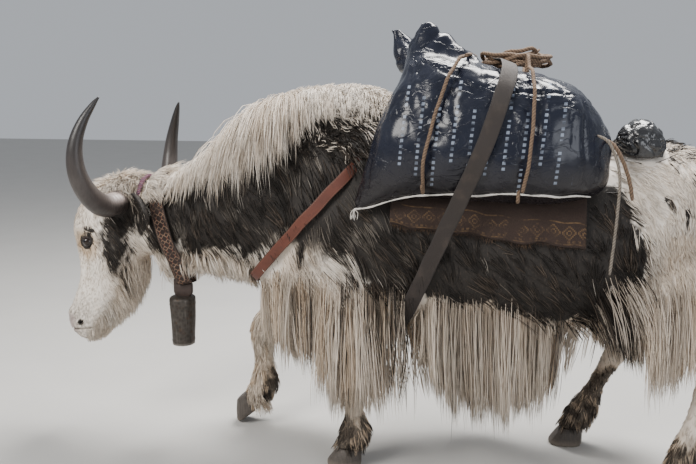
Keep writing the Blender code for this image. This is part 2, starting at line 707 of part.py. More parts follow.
def eyelid_opening(side):
    outward, forward, up = eye_frame(side)
    centre = mirrored(EYE_CENTRE, side)
    outline = []
    for k in range(10):
        turn = 2 * math.pi * k / 10
        lift = math.copysign(abs(math.sin(turn)) ** 1.3, math.sin(turn))
        outline.append(centre + forward * (EYE_OPENING[0] * math.cos(turn)) + up * (EYE_OPENING[1] * lift))
    rings = [[point + outward * reach for point in outline] for reach in (0.004, 0.06)]
    return place(loft(rings))


def mouth_cutter():
    """A thin wedge that draws the line of the mouth round the muzzle."""
    def slice_of(z, grow):
        return ring(Vector((-1.103, 0, z)), Y, -X, 0.0715 + grow, 0.0670 + grow, -0.02, 14, 2.35)
    plate = place(loft([slice_of(0.3785, 0.03), slice_of(0.3825, 0.03)]))
    core = place(loft([slice_of(0.370, -0.011), slice_of(0.390, -0.011)]))
    plate = cut(plate, [core, beyond(Vector((-1.048, 0, 0.38)), X)])
    tilt = Matrix.Translation((-1.15, 0, 0.38)) @ Matrix.Rotation(math.radians(-7), 4, "Y")
    plate.data.transform(tilt @ Matrix.Translation((1.15, 0, -0.38)))
    return plate


def nostril_cutter(side):
    turn = Matrix.Rotation(side * math.radians(38), 4, "Z") @ Matrix.Rotation(math.radians(20), 4, "Y")
    return ball(mirrored((-1.158, 0.057, 0.428), side), (0.019, 0.009, 0.012), turn, 8, 5)


def build_head(head):
    lid_size = (LID_RADIUS, LID_RADIUS, LID_RADIUS)
    lids = [turn_head(ball(mirrored(EYE_CENTRE, side), lid_size, None, 10, 7)) for side in (NEAR, FAR)]
    head = fuse([head] + lids)
    cutters = [mouth_cutter()]
    for side in (NEAR, FAR):
        socket = ball(mirrored(EYE_CENTRE, side), (EYE_RADIUS + GAP,) * 3, None, 10, 7)
        cutters.append(fuse([socket, eyelid_opening(side)]))
        cutters.append(nostril_cutter(side))
    for cutter in cutters:
        turn_head(cutter)
        head = cut(head, [cutter])
    return head


def build_eye(side):
    return turn_head(ball(mirrored(EYE_CENTRE, side), (EYE_RADIUS - GAP,) * 3, None, 10, 7))


def tube(path, radii, sides):
    """A round tube whose rings stand square to its path."""
    rings = []
    across = None
    for k, point in enumerate(path):
        before, after = path[max(k - 1, 0)], path[min(k + 1, len(path) - 1)]
        tangent = (after - before).normalized()
        if across is None:
            across = tangent.orthogonal().normalized()
        across = (across - tangent * across.dot(tangent)).normalized()
        rings.append(ring(point, across, tangent.cross(across), radii[k], radii[k], 0.0, sides, 2.0))
    return loft(rings)


def build_horn(side, others):
    path = [mirrored(HORN_ROOT + Vector((x, out, z)), side) for out, x, z, radius in HORN]
    horn = turn_head(place(tube(path, [entry[3] for entry in HORN], 10)))
    return cut(horn, [grown(other, GAP) for other in others])


def build_ear(side, others):
    """A leaf-shaped cup, open forward and down."""
    root, tip = mirrored(EAR_ROOT, side), mirrored(EAR_TIP, side)
    length = (tip - root).normalized()
    face = Vector((-0.62, side * 0.55, -0.35))
    face = (face - length * face.dot(length)).normalized()
    across = length.cross(face)
    rings = []
    for share, width, cup in [(-0.10, 0.34, 0.9), (0.10, 0.52, 1.0), (0.30, 0.88, 1.0), (0.52, 1.0, 0.9),
                              (0.74, 0.84, 0.7), (0.90, 0.50, 0.5), (1.00, 0.16, 0.2)]:
        centre = root.lerp(tip, share)
        half = EAR_WIDTH * width
        depth = EAR_CUP * cup * width
        outer, inner = [], []
        for k in range(6):
            turn = math.pi * (k / 5 - 0.5)
            sideways = across * (half * math.sin(turn))
            outer.append(centre + sideways - face * (depth * math.cos(turn)))
            lining = max(depth - EAR_THICKNESS, 0.004) * math.cos(turn) - 0.0035
            inner.append(centre + sideways * 0.93 - face * lining)
        rings.append(outer + inner[::-1])
    ear = turn_head(place(loft(rings)))
    return cut(ear, [grown(other, GAP) for other in others])


def build_leg(name, girth):
    leg = place(loft(leg_rings(*LEGS[name], 0.0, 10)))
    return cut(leg, [place(loft(trunk_rings(TRUNK, GAP))), grown(girth, GAP)])


def claw(side_in_hoof):
    """One half of a cloven hoof, flat where it faces its twin, with its sole's middle at the origin."""
    rings = []
    for z, shift, half_length, width in [(0.0, 0.000, 0.058, 0.046), (0.014, 0.001, 0.059, 0.047),
                                         (0.044, 0.012, 0.048, 0.044), (0.074, 0.026, 0.034, 0.038)]:
        points = []
        for k in range(7):
            turn = math.pi * k / 6
            reach = width * math.sin(turn) ** 0.75
            points.append(Vector((shift - half_length * math.cos(turn), side_in_hoof * (0.0022 + reach), z)))
        rings.append(points)
    return place(loft(rings))


def build_hoof(name, leg):
    side, x, out, z, lift = HOOVES[name]
    bridge = ball(Vector((0.032, 0, 0.050)), (0.022, 0.020, 0.024), None, 8, 5)
    hoof = fuse([claw(-1), claw(1), bridge])
    turn = Matrix.Translation((x, side * out, z)) @ Matrix.Rotation(math.radians(-lift), 4, "Y")
    hoof.data.transform(turn)
    leg_side, stations = LEGS[leg]
    cutters = [place(loft(leg_rings(leg_side, stations, GAP, 10)))]
    if lift:
        cutters.append(beyond(Vector((0, 0, 0)), -Z))
    return cut(hoof, cutters)


def build_tail():
    rings = []
    for x, z, half_width, half_depth in TAIL:
        rings.append(ring(Vector((x, 0, z)), Y, X, half_width, half_depth, 0.0, 8))
    return place(loft(rings))


# Harness and load

def slab_points(pieces, point, normal, half_width):
    """Where the pieces' edges meet a thin slab of space."""
    found = []
    for piece in pieces:
        verts = [vert.co for vert in piece.data.vertices]
        heights = [(co - point).dot(normal) for co in verts]
        found.extend(co for co, height in zip(verts, heights) if abs(height) <= half_width)
        for edge in piece.data.edges:
            a, b = edge.vertices
            for level in (-half_width, 0.0, half_width):
                if (heights[a] - level) * (heights[b] - level) < 0:
                    share = (level - heights[a]) / (heights[b] - heights[a])
                    found.append(verts[a].lerp(verts[b], share))
    return found


def round_path(pieces, plane, half_width, spacing=0.035, extra=()):
    """The closed path of a strap drawn tight round the pieces, in one plane."""
    point, normal = plane
    upward = (Z - normal * normal.z).normalized()
    across = normal.cross(upward)
    found = slab_points(pieces, point, normal, half_width) + list(extra)
    flat = [((co - point).dot(across), (co - point).dot(upward)) for co in found]
    corners = [Vector(flat[k]) for k in convex_hull_2d(flat)]
    path = []
    for a, b in zip(corners, corners[1:] + corners[:1]):
        steps = max(1, round((b - a).length / spacing))
        path.extend(a.lerp(b, k / steps) for k in range(steps))
    thinned = [path[0]]
    for corner in path[1:]:
        if (corner - thinned[-1]).length > spacing * 0.35:
            thinned.append(corner)
    return [point + across * corner.x + upward * corner.y for corner in thinned]


def strap(path, normal, half_width, inner, outer, closed=True):
    """A flat band along a path, from inner to outer above it. Normal is its plane's, mirrored when far."""
    rings = []
    count = len(path)
    centre = sum(path, Vector()) / count
    for k, point in enumerate(path):
        before = path[k - 1] if closed or k else point
        after = path[(k + 1) % count] if closed or k < count - 1 else point
        tangent = (after - before).normalized()
        square = mirrored(normal, -1) if point.y > 0 else normal
        square = (square - tangent * square.dot(tangent)).normalized()
        out = tangent.cross(square)
        if out.dot(point - centre) < 0:
            out = -out
        rings.append([point + out * inner - square * half_width, point + out * inner + square * half_width,
                      point + out * outer + square * half_width, point + out * outer - square * half_width])
    return place(loft(rings, closed))


def trunk_at(x, k, sides=24):
    """The trunk's k-th edge point at any x, on its straight run between two stations."""
    rings = trunk_rings(TRUNK)
    for n in range(len(TRUNK) - 1):
        if TRUNK[n][0] <= x <= TRUNK[n + 1][0]:
            share = (x - TRUNK[n][0]) / (TRUNK[n + 1][0] - TRUNK[n][0])
            return rings[n][k % sides].lerp(rings[n + 1][k % sides], share)
    raise ValueError("x lies off the trunk")


def build_blanket(torso):
    """The saddle cloth, one thickness over the back down to a hem on each side."""
    stations = [BLANKET_X[0], 0.080, 0.165, 0.250, 0.350, 0.450, BLANKET_X[1]]
    rings = []
    for x in stations:
        share = (x - BLANKET_X[0]) / (BLANKET_X[1] - BLANKET_X[0])
        hem = BLANKET_HEM[0] + (BLANKET_HEM[1] - BLANKET_HEM[0]) * share
        skin = []
        for k in range(0, 13):
            here = trunk_at(x, k)
            if k in (0, 12):
                above = trunk_at(x, 1 if k == 0 else 11)
                here = here.lerp(above, max(0.0, min(0.9, (hem - here.z) / (above.z - here.z))))
            skin.append(here)
        inner, outer = [], []
        for k, here in enumerate(skin):
            run = (skin[min(k + 1, 12)] - skin[max(k - 1, 0)]).normalized()
            out = Vector((0, run.z, -run.y))
            inner.append(here - out * 0.004)
            outer.append(here + out * (0.0012 + BLANKET_THICKNESS))
        rings.append(outer + inner[::-1])
    return cut(place(loft(rings)), [grown(torso, GAP)])


def build_sack(side, torso, blanket):
    """A full woven feed sack that leans on the back, its tied corner standing up at the front."""
    rings = []
    for x, low, high, half_thick in SACK:
        upward = Vector((0, -side * SACK_LEAN, 1)).normalized()
        across = upward.cross(X).normalized() * -1
        middle = (low + high) / 2
        centre = Vector((x, side * (SACK_MIDDLE_Y - SACK_LEAN * (middle - 1.11)), middle))
        rings.append(ring(centre, across, upward, half_thick, (high - low) / 2, 0.0, 14, 2.5))
    ear = []
    for x, out, z, half_width, half_length in SACK_EAR:
        x += FAR_EAR_LEAN * (z - 1.20) * (side == FAR)
        ear.append(ring(Vector((x, side * out, z)), Y, X, half_width, half_length, 0.0, 10, 2.2))
    sack = fuse([place(loft(rings)), place(loft(ear))])
    return cut(sack, [grown(torso, BLANKET_THICKNESS + 0.0024), grown(blanket, GAP),
                      beyond(Vector((0, side * GAP / 2, 0)), Y * -side)])


def build_bell():
    """A sheet bell, open below, a little narrower at its mouth."""
    profile = [(BELL_TOP_RADIUS * 0.55, BELL_TOP), (BELL_TOP_RADIUS, BELL_TOP - 0.012),
               (BELL_MOUTH_RADIUS, BELL_MOUTH), (BELL_MOUTH_RADIUS - BELL_WALL, BELL_MOUTH),
               (BELL_TOP_RADIUS - BELL_WALL, BELL_TOP - 0.016), (BELL_TOP_RADIUS * 0.5, BELL_TOP - 0.005)]
    form = bmesh.new()
    rows = []
    for radius, z in profile:
        centre = Vector((BELL_AXIS[0], BELL_AXIS[1], z))
        circle = ring(centre, Y, X, radius, radius * 0.9, 0.0, 16, 2.0)
        rows.append([form.verts.new(point) for point in circle])
    for low, high in zip(rows, rows[1:]):
        for k in range(16):
            form.faces.new((low[k], low[(k + 1) % 16], high[(k + 1) % 16], high[k]))
    form.faces.new(rows[0])
    form.faces.new(rows[-1])
    bmesh.ops.recalc_face_normals(form, faces=form.faces)
    return place(form)


def poly_tube(name, points, radius, resolution=1):
    """A cord as a curve with a round bevel, made a mesh."""
    curve = bpy.data.curves.new(name, "CURVE")
    curve.dimensions = "3D"
    curve.bevel_depth = radius
    curve.bevel_resolution = resolution
    curve.use_fill_caps = True
    spline = curve.splines.new("POLY")
    spline.points.add(len(points) - 1)
    for knot, point in zip(spline.points, points):
        knot.co = (*point, 1.0)
    cord = bpy.data.objects.new(name, curve)
    CUTTERS.objects.link(cord)
    graph = bpy.context.evaluated_depsgraph_get()
    mesh = bpy.data.meshes.new_from_object(cord.evaluated_get(graph))
    piece = bpy.data.objects.new(name, mesh)
    CUTTERS.objects.link(piece)
    bpy.data.objects.remove(cord, do_unlink=True)
    form = bmesh.new()
    form.from_mesh(mesh)
    bmesh.ops.remove_doubles(form, verts=form.verts, dist=0.00005)
    bmesh.ops.recalc_face_normals(form, faces=form.faces)
    form.to_mesh(mesh)
    form.free()
    return piece


def smooth_through(knots, spacing):
    """Points read from a smooth curve through the knots."""
    knots = [Vector(knot) for knot in knots]
    padded = [knots[0] * 2 - knots[1]] + knots + [knots[-1] * 2 - knots[-2]]
    points = []
    for k in range(1, len(padded) - 2):
        a, b, c, d = padded[k - 1:k + 3]
        steps = max(1, round((c - b).length / spacing))
        for n in range(steps):
            t = n / steps
            points.append(0.5 * ((2 * b) + (c - a) * t + (2 * a - 5 * b + 4 * c - d) * t ** 2
                                 + (3 * b - a - 3 * c + d) * t ** 3))
    return points + [knots[-1]]


# Loose rope ends from the near sack's upper rear edge: radius and knots.
ROPE_TAILS = {
    "rope_tail_long": (0.0045, [(0.640, -0.345, 1.128), (0.668, -0.366, 1.112), (0.692, -0.374, 1.062),
                                (0.704, -0.374, 1.000),
                                (0.702, -0.366, 0.900), (0.696, -0.362, 0.800), (0.690, -0.362, 0.728)]),
    "rope_tail_short": (0.0060, [(0.655, -0.290, 1.115), (0.688, -0.318, 1.100), (0.716, -0.338, 1.050),
                                 (0.736, -0.344, 0.990), (0.744, -0.344, 0.944)]),
}


def build_rope_tail(name, sack):
    radius, knots = ROPE_TAILS[name]
    return cut(poly_tube(name, smooth_through(knots, radius * 7), radius), [grown(sack, GAP)])


def open_run(path, keep_point):
    """The stretch of a closed path whose points are kept, in order from one end to the other."""
    kept = [point for point in path if keep_point(point)]
    start = max(range(len(kept)), key=lambda k: (kept[k] - kept[k - 1]).length)
    return kept[start:] + kept[:start]


def build_girth(load):
    """The wide strap round the load and under the chest."""
    near = open_run(round_path(load, GIRTH_PLANE, 0.034, 0.042), lambda point: point.y < -0.015)
    loop = near + [mirrored(point, -1) for point in reversed(near)]
    return strap(loop, GIRTH_PLANE[1], 0.033, 0.0014, 0.0054)


def build_breast_strap(body):
    """The leather strap from the load down round the chest."""
    front = open_run(round_path(body, BREAST_PLANE, 0.023, 0.040), lambda point: point.z < BREAST_TOP)
    return strap(front, BREAST_PLANE[1], 0.022, 0.0010, 0.0060, closed=False)


def build_collar(body):
    """The woven collar, drawn down by the bell."""
    low = [Vector((COLLAR_LOW[0], y, COLLAR_LOW[1])) for y in (BELL_AXIS[1] - 0.02, BELL_AXIS[1] + 0.02)]
    return strap(round_path(body, COLLAR_PLANE, 0.027, 0.030, low), COLLAR_PLANE[1], 0.026, 0.0010, 0.0055)


def raised(path, normal, height):
    """The path lifted off what it lies on."""
    centre = sum(path, Vector()) / len(path)
    lifted = []
    for k, point in enumerate(path):
        tangent = (path[min(k + 1, len(path) - 1)] - path[max(k - 1, 0)]).normalized()
        out = tangent.cross(normal)
        if out.dot(point - centre) < 0:
            out = -out
        lifted.append(point + out * height)
    return lifted


def outer_run(path, side, inmost):
    """The stretch of a closed path from its top outward and down, until it turns in under the load."""
    top = max(range(len(path)), key=lambda k: path[k].z)
    run = path[top:] + path[:top]
    if (run[1].y - run[0].y) * side < 0:
        run = run[:1] + run[:0:-1]
    low = next(k for k, point in enumerate(run) if point.z < 1.0 and abs(point.y) < inmost)
    return run[:low]


def build_sack_rope(sack, x, gain_out, gain_up):
    """A rope drawn over both sacks, its ends tucked under them."""
    normal = Vector((1.0, gain_out, -gain_up)).normalized()
    plane = (Vector((x, -SACK_ROPE_TOP[0], SACK_ROPE_TOP[1])), normal)
    near = outer_run(round_path([sack], plane, 0.004, 0.045), NEAR, 0.350)
    near = raised(near, normal, ROPE_RADIUS + 0.0026)
    whole = near[::-1] + [mirrored(point, -1) for point in near]
    return place(tube(whole, [ROPE_RADIUS] * len(whole), 5))


def build_poll_cord(body):
    """A braided yarn over the poll, behind the horns."""
    over = open_run(round_path(body, POLL_PLANE, 0.007, 0.030), lambda point: point.z > 0.875)
    return place(tube(raised(over, POLL_PLANE[1], 0.0080), [0.007] * len(over), 6))


def build_coil(others):
    """A hank of rope on top of the load."""
    rings = []
    for k in range(12):
        turn = 2 * math.pi * k / 12
        out = Vector((math.cos(turn), math.sin(turn), 0))
        rings.append(ring(COIL_CENTRE + out * COIL_RADIUS, out, Z, 0.033, 0.039, 0.0, 6, 2.0))
    return cut(place(loft(rings, closed=True)), [grown(other, GAP) for other in others])


def build_bag(others):
    """A knotted plastic bag on the croup, behind the near sack."""
    rings = []
    for x, out, z, half_width, half_depth in BAG:
        rings.append(ring(Vector((x, -out, z)), Y, Z, half_width, half_depth, 0.15, 12, 2.3))
    return cut(place(loft(rings)), [grown(other, GAP) for other in others])


def build_bell_loop(collar, bell):
    """The leather tab that carries the bell on the collar."""
    form = bmesh.new()
    bmesh.ops.create_cube(form, size=1.0)
    size = Matrix.Diagonal((0.030, 0.012, 0.060, 1.0))
    centre = Matrix.Translation((BELL_AXIS[0] + 0.004, BELL_AXIS[1], BELL_TOP + 0.020))
    bmesh.ops.transform(form, matrix=centre @ size, verts=form.verts)
    return cut(place(form), [grown(collar, GAP), grown(bell, GAP)])


def build_clapper(bell):
    """A short iron tongue inside the bell."""
    form = bmesh.new()
    bmesh.ops.create_cone(form, cap_ends=True, segments=8, radius1=0.009, radius2=0.004, depth=0.118)
    bmesh.ops.translate(form, verts=form.verts, vec=(BELL_AXIS[0], BELL_AXIS[1], 0.448))
    return cut(place(form), [grown(bell, GAP)])


def coat_legs(legs, others):
    """Feathering: long down the forearms, short behind the hocks."""
    coated = dict(legs)
    for seed, name in enumerate(legs):
        rest = [coated[key] for key in legs if key != name]
        coat = Coat(legs[name], others + rest, seed)
        for row in FEATHERS[name]:
            coat.feathers(LEGS[name][0], *row)
        coated[name] = coat.fused()
    return coated


def coat_torso(torso, others):
    coat = Coat(torso, others, 11)
    for label, side in SIDES.items():
        for row in FLANKS[label]:
            coat.flank(side, *row)
        coat.flank(side, *BRISKET)
    coat.top(*HUMP)
    coat.top(*RUMP)
    return coat.fused()


def coat_neck(neck, others):
    coat = Coat(neck, others, 12)
    for side in (NEAR, FAR):
        coat.mane(side, *MANE_SIDE)
        coat.flank(side, *THROAT)
    coat.top(*CREST)
    return coat.fused()


def coat_head(head, others):
    coat = Coat(head, others, 13, head_turning())
    for side in (NEAR, FAR):
        for row in BEARD:
            coat.flank(side, *row)
    coat.turn = Matrix()
    coat.top(*POLL_LOCKS)
    return coat.fused()


def coat_tail(tail, others):
    coat = Coat(tail, others, 14)
    for row in TAIL_LOCKS:
        coat.feathers(FAR, *row)
    return coat.fused()


def build():
    coat_white = finish("pale coat", (0.62, 0.57, 0.50), 0.9)
    coat_dark = finish("dark coat", (0.05, 0.045, 0.04), 0.9)
    coat_mixed = finish("mixed coat", (0.42, 0.38, 0.33), 0.9)
    horn_finish = finish("horn", (0.07, 0.065, 0.065), 0.35)
    hoof_finish = finish("hoof", (0.05, 0.045, 0.04), 0.5)
    eye_finish = finish("eye", (0.015, 0.012, 0.01), 0.08)
    plastic = finish("sack plastic", (0.02, 0.025, 0.04), 0.3)
    webbing = finish("webbing", (0.05, 0.05, 0.05), 0.8)
    leather = finish("leather", (0.17, 0.07, 0.045), 0.6)
    cloth = finish("saddle cloth", (0.10, 0.06, 0.045), 0.95)
    rope = finish("rope", (0.28, 0.22, 0.15), 0.9)
    metal = finish("bell metal", (0.09, 0.09, 0.09), 0.5, 0.8)
    yarn = finish("yarn", (0.20, 0.03, 0.09), 0.9)

    torso, neck, head = torso_neck_head()
    head = build_head(head)
    blanket = build_blanket(torso)
    sacks = [build_sack(side, torso, blanket) for side in (NEAR, FAR)]
    body = [torso, neck]
    girth = build_girth(body + [blanket] + sacks)
    breast = build_breast_strap(body)
    collar = build_collar([neck])
    poll_cord = build_poll_cord([neck])
    ropes = {name: build_sack_rope(sacks[0], *route) for name, route in SACK_ROPES.items()}
    coil = build_coil(sacks + [girth] + list(ropes.values()))
    bell = build_bell()
    bell_loop = build_bell_loop(collar, bell)
    clapper = build_clapper(bell)
    bag = build_bag([torso, sacks[0]])
    gear = [blanket, girth, breast, collar, poll_cord, bell_loop]
    torso = cut(torso, [grown(piece, GAP) for piece in gear + sacks + [bag]])
    horns = [build_horn(side, [head, neck]) for side in (NEAR, FAR)]
    neck = cut(neck, [grown(piece, GAP) for piece in gear])
    ears = [build_ear(side, [head, neck, collar, poll_cord, horn]) for side, horn in zip((NEAR, FAR), horns)]
    legs = {name: build_leg(name, girth) for name in LEGS}
    hooves = {name: build_hoof(name, leg) for name, leg in zip(HOOVES, LEGS)}
    tail = cut(build_tail(), [grown(torso, GAP)])
    tails = {name: build_rope_tail(name, sacks[0]) for name in ROPE_TAILS}

    worn = gear + sacks + [bag, bell] + list(ropes.values()) + list(tails.values())
    legs = coat_legs(legs, worn + [torso] + list(hooves.values()))
    below = list(legs.values()) + list(hooves.values())
    torso = coat_torso(torso, worn + [neck, tail] + below)
    head = coat_head(head, worn + [neck] + horns + ears)
    neck = coat_neck(neck, worn + [torso, head] + horns + ears)
    tail = coat_tail(tail, [torso] + below)

    keep(head, "head", coat_white)
    keep(neck, "neck", coat_dark)
    keep(torso, "torso", coat_mixed)
    keep(tail, "tail", coat_white)
    for name, leg in legs.items():
        keep(leg, name, coat_white)
    for name, hoof in hooves.items():
        keep(hoof, name, hoof_finish)
    for label, side, horn, ear, sack in zip(SIDES, SIDES.values(), horns, ears, sacks):
        keep(build_eye(side), "eye_" + label, eye_finish)
        keep(horn, "horn_" + label, horn_finish)
        keep(ear, "ear_" + label, coat_dark)
        keep(sack, "sack_" + label, plastic)
    for piece, name, material in [(blanket, "saddle_blanket", cloth), (girth, "girth", webbing),
                                  (breast, "breast_strap", leather), (collar, "collar", cloth),
                                  (poll_cord, "poll_cord", yarn), (coil, "rope_coil", rope),
                                  (bell, "bell", metal), (bell_loop, "bell_loop", leather),
                                  (clapper, "bell_clapper", metal), (bag, "bag", plastic)]:
        keep(piece, name, material)
    for name, piece in ropes.items():
        keep(piece, name, rope)
    for name, piece in tails.items():
        keep(piece, name, rope)


build()
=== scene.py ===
"""Looks of a pack yak under its load: skin, coat, horns, hooves, eyes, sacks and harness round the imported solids.

The yak faces -X in metres, its near side at -Y. The coat is mesh: tapered tufts grown over one skin.
"""

import math

import bmesh
import bpy
import numpy as np
from mathutils import Matrix, Vector
from mathutils.bvhtree import BVHTree
from mathutils.geometry import convex_hull_2d
from mathutils.kdtree import KDTree


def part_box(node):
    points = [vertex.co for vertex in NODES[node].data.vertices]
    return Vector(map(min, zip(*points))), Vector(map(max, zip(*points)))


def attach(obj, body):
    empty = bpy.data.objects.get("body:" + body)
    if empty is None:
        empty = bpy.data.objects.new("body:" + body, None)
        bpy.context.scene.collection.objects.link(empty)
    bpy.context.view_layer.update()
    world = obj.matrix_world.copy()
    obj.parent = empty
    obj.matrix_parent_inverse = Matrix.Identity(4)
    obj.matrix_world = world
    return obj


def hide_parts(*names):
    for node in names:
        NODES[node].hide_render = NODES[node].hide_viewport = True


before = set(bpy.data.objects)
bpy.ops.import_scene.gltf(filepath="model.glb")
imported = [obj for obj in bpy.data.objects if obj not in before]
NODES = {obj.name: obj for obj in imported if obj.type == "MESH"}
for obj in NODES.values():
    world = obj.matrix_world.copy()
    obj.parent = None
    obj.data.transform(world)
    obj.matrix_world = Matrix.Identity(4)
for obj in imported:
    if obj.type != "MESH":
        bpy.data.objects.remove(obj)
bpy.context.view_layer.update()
NEAR, FAR = -1, 1
SIDES = {"near": NEAR, "far": FAR}
DOWN = np.array([0.0, 0.0, -1.0])
X, Y, Z = Vector((1, 0, 0)), Vector((0, 1, 0)), Vector((0, 0, 1))


# Camera: a 47 mm lens at eye height, a little ahead of the yak's middle, looking slightly down

def add_camera():
    camera = bpy.data.objects.new("camera", bpy.data.cameras.new("camera"))
    bpy.context.scene.collection.objects.link(camera)
    camera.data.sensor_width = 36.0
    camera.data.lens = 46.55
    camera.location = (0.387, -2.991, 1.300)
    camera.rotation_euler = (math.radians(90 - 9.957), 0.0, math.radians(10.0))
    bpy.context.scene.camera = camera


add_camera()


# Shader maths

class Value:
    """A number, colour or vector that a node gives. Sums with it add their own nodes."""

    def __init__(self, finish, socket):
        self.finish = finish
        self.socket = socket

    def maths(self, operation, first, second=0.0, **settings):
        settings["operation"] = operation
        return self.finish.node("ShaderNodeMath", settings, {0: first, 1: second})

    def __add__(self, other):
        return self.maths("ADD", self, other)

    def __radd__(self, other):
        return self.maths("ADD", other, self)

    def __sub__(self, other):
        return self.maths("SUBTRACT", self, other)

    def __rsub__(self, other):
        return self.maths("SUBTRACT", other, self)

    def __mul__(self, other):
        return self.maths("MULTIPLY", self, other)

    def __rmul__(self, other):
        return self.maths("MULTIPLY", other, self)

    def __truediv__(self, other):
        return self.maths("DIVIDE", self, other)

    def __pow__(self, other):
        return self.maths("POWER", self, other)

    def sine(self):
        return self.maths("SINE", self)

    def size(self):
        return self.maths("ABSOLUTE", self)

    def fraction(self):
        return self.maths("FRACT", self)

    def least(self, other):
        return self.maths("MINIMUM", self, other)

    def most(self, other):
        return self.maths("MAXIMUM", self, other)

    def clamped(self):
        return self.maths("ADD", self, 0.0, use_clamp=True)

    def between(self, low, high):
        """Rises smoothly from 0 at low to 1 at high."""
        return self.finish.node("ShaderNodeMapRange", {"interpolation_type": "SMOOTHSTEP"},
                                {"Value": self, "From Min": low, "From Max": high})


class Finish:
    """A material under construction, around one Principled shader."""

    def __init__(self, name, **constants):
        self.material = bpy.data.materials.new(name)
        self.material.use_nodes = True
        self.tree = self.material.node_tree
        self.shader = self.tree.nodes["Principled BSDF"]
        for key, value in constants.items():
            self.shader.inputs[key.replace("_", " ")].default_value = value

    def node(self, kind, settings, sockets, output=0):
        """One node: its settings first, then the values or links of its sockets."""
        made = self.tree.nodes.new(kind)
        for key, value in settings.items():
            setattr(made, key, value)
        for key, value in sockets.items():
            if isinstance(value, Value):
                self.tree.links.new(value.socket, made.inputs[key])
            else:
                made.inputs[key].default_value = value
        return Value(self, made.outputs[output])

    def attribute(self, name, output="Fac"):
        return self.node("ShaderNodeAttribute", {"attribute_name": name}, {}, output)

    def place(self, name=None):
        """Where a point lies, in metres: its root's place on the skin where the name is given."""
        if name:
            return self.attribute(name, "Vector")
        return self.node("ShaderNodeTexCoord", {}, {}, "Object")

    def stretched(self, place, factors):
        return self.node("ShaderNodeVectorMath", {"operation": "MULTIPLY"}, {0: place, 1: factors})

    def parts(self, place):
        """The three numbers of a place."""
        parts = self.node("ShaderNodeSeparateXYZ", {}, {0: place})
        return [Value(self, parts.socket.node.outputs[k]) for k in range(3)]

    def noise(self, place, scale, detail=3.0, roughness=0.5, distortion=0.0):
        return self.node("ShaderNodeTexNoise", {}, {"Vector": place, "Scale": scale, "Detail": detail,
                                                    "Roughness": roughness, "Distortion": distortion})

    def cells(self, place, scale, randomness=1.0, feature="F1"):
        return self.node("ShaderNodeTexVoronoi", {"feature": feature},
                         {"Vector": place, "Scale": scale, "Randomness": randomness}, "Distance")

    def blend(self, share, first, second):
        """A colour between two, given as values or as plain colours."""
        mix = self.tree.nodes.new("ShaderNodeMix")
        mix.data_type = "RGBA"
        for key, value in ((0, share), (6, first), (7, second)):
            if isinstance(value, Value):
                self.tree.links.new(value.socket, mix.inputs[key])
            else:
                mix.inputs[key].default_value = value if key == 0 else (*value, 1.0)
        return Value(self, mix.outputs[2])

    def colour(self, value):
        self.tree.links.new(value.socket, self.shader.inputs["Base Color"])

    def feed(self, name, value):
        self.tree.links.new(value.socket, self.shader.inputs[name])

    def bump(self, height, depth, strength=1.0):
        made = self.tree.nodes.new("ShaderNodeBump")
        made.inputs["Strength"].default_value = strength
        made.inputs["Distance"].default_value = depth
        self.tree.links.new(height.socket, made.inputs["Height"])
        self.tree.links.new(made.outputs[0], self.shader.inputs["Normal"])


def dress(piece, finish):
    piece.data.materials.clear()
    piece.data.materials.append(finish.material)


# Meshes

def unit(vectors):
    return vectors / np.maximum(np.linalg.norm(vectors, axis=-1, keepdims=True), 1e-9)


def wavy(points, size, seed, waves=9):
    """Smooth random waves from about -1 to 1, with features of a size in metres."""
    rng = np.random.default_rng(seed)
    total = np.zeros(len(points))
    for _ in range(waves):
        direction = unit(rng.normal(size=3)) * (2 * math.pi / size * rng.uniform(0.6, 1.7))
        total += np.sin(points @ direction + rng.uniform(0, 2 * math.pi))
    return total / math.sqrt(waves)


def mesh_piece(name, points, faces, uv=None, marks=None):
    """A smooth mesh from arrays. Faces share one count of corners, or come as a list of such arrays."""
    groups = faces if isinstance(faces, list) else [faces]
    loops = np.concatenate([group.ravel() for group in groups]).astype(np.int32)
    totals = np.concatenate([np.full(len(group), group.shape[1]) for group in groups]).astype(np.int32)
    mesh = bpy.data.meshes.new(name)
    mesh.vertices.add(len(points))
    mesh.vertices.foreach_set("co", np.asarray(points, np.float32).ravel())
    mesh.loops.add(len(loops))
    mesh.loops.foreach_set("vertex_index", loops)
    mesh.polygons.add(len(totals))
    mesh.polygons.foreach_set("loop_start", np.concatenate([[0], np.cumsum(totals)[:-1]]).astype(np.int32))
    mesh.polygons.foreach_set("loop_total", totals)
    mesh.polygons.foreach_set("use_smooth", np.ones(len(totals), bool))
    mesh.update(calc_edges=True)
    if uv is not None:
        layer = mesh.uv_layers.new(name="OFBake")
        layer.data.foreach_set("uv", uv[loops].astype(np.float32).ravel())
    for key, values in (marks or {}).items():
        kind = "FLOAT_VECTOR" if values.ndim == 2 else "FLOAT"
        slot = mesh.attributes.new(key, kind, "POINT")
        slot.data.foreach_set("vector" if values.ndim == 2 else "value", values.astype(np.float32).ravel())
    piece = bpy.data.objects.new(name, mesh)
    bpy.context.scene.collection.objects.link(piece)
    return piece


def points_of(piece):
    points = np.empty(len(piece.data.vertices) * 3, np.float32)
    piece.data.vertices.foreach_get("co", points)
    return points.reshape(-1, 3).astype(float)


def move_points(piece, points):
    piece.data.vertices.foreach_set("co", np.asarray(points, np.float32).ravel())
    piece.data.update()


def normals_of(piece):
    normals = np.empty(len(piece.data.vertices) * 3, np.float32)
    piece.data.vertex_normals.foreach_get("vector", normals)
    return normals.reshape(-1, 3).astype(float)


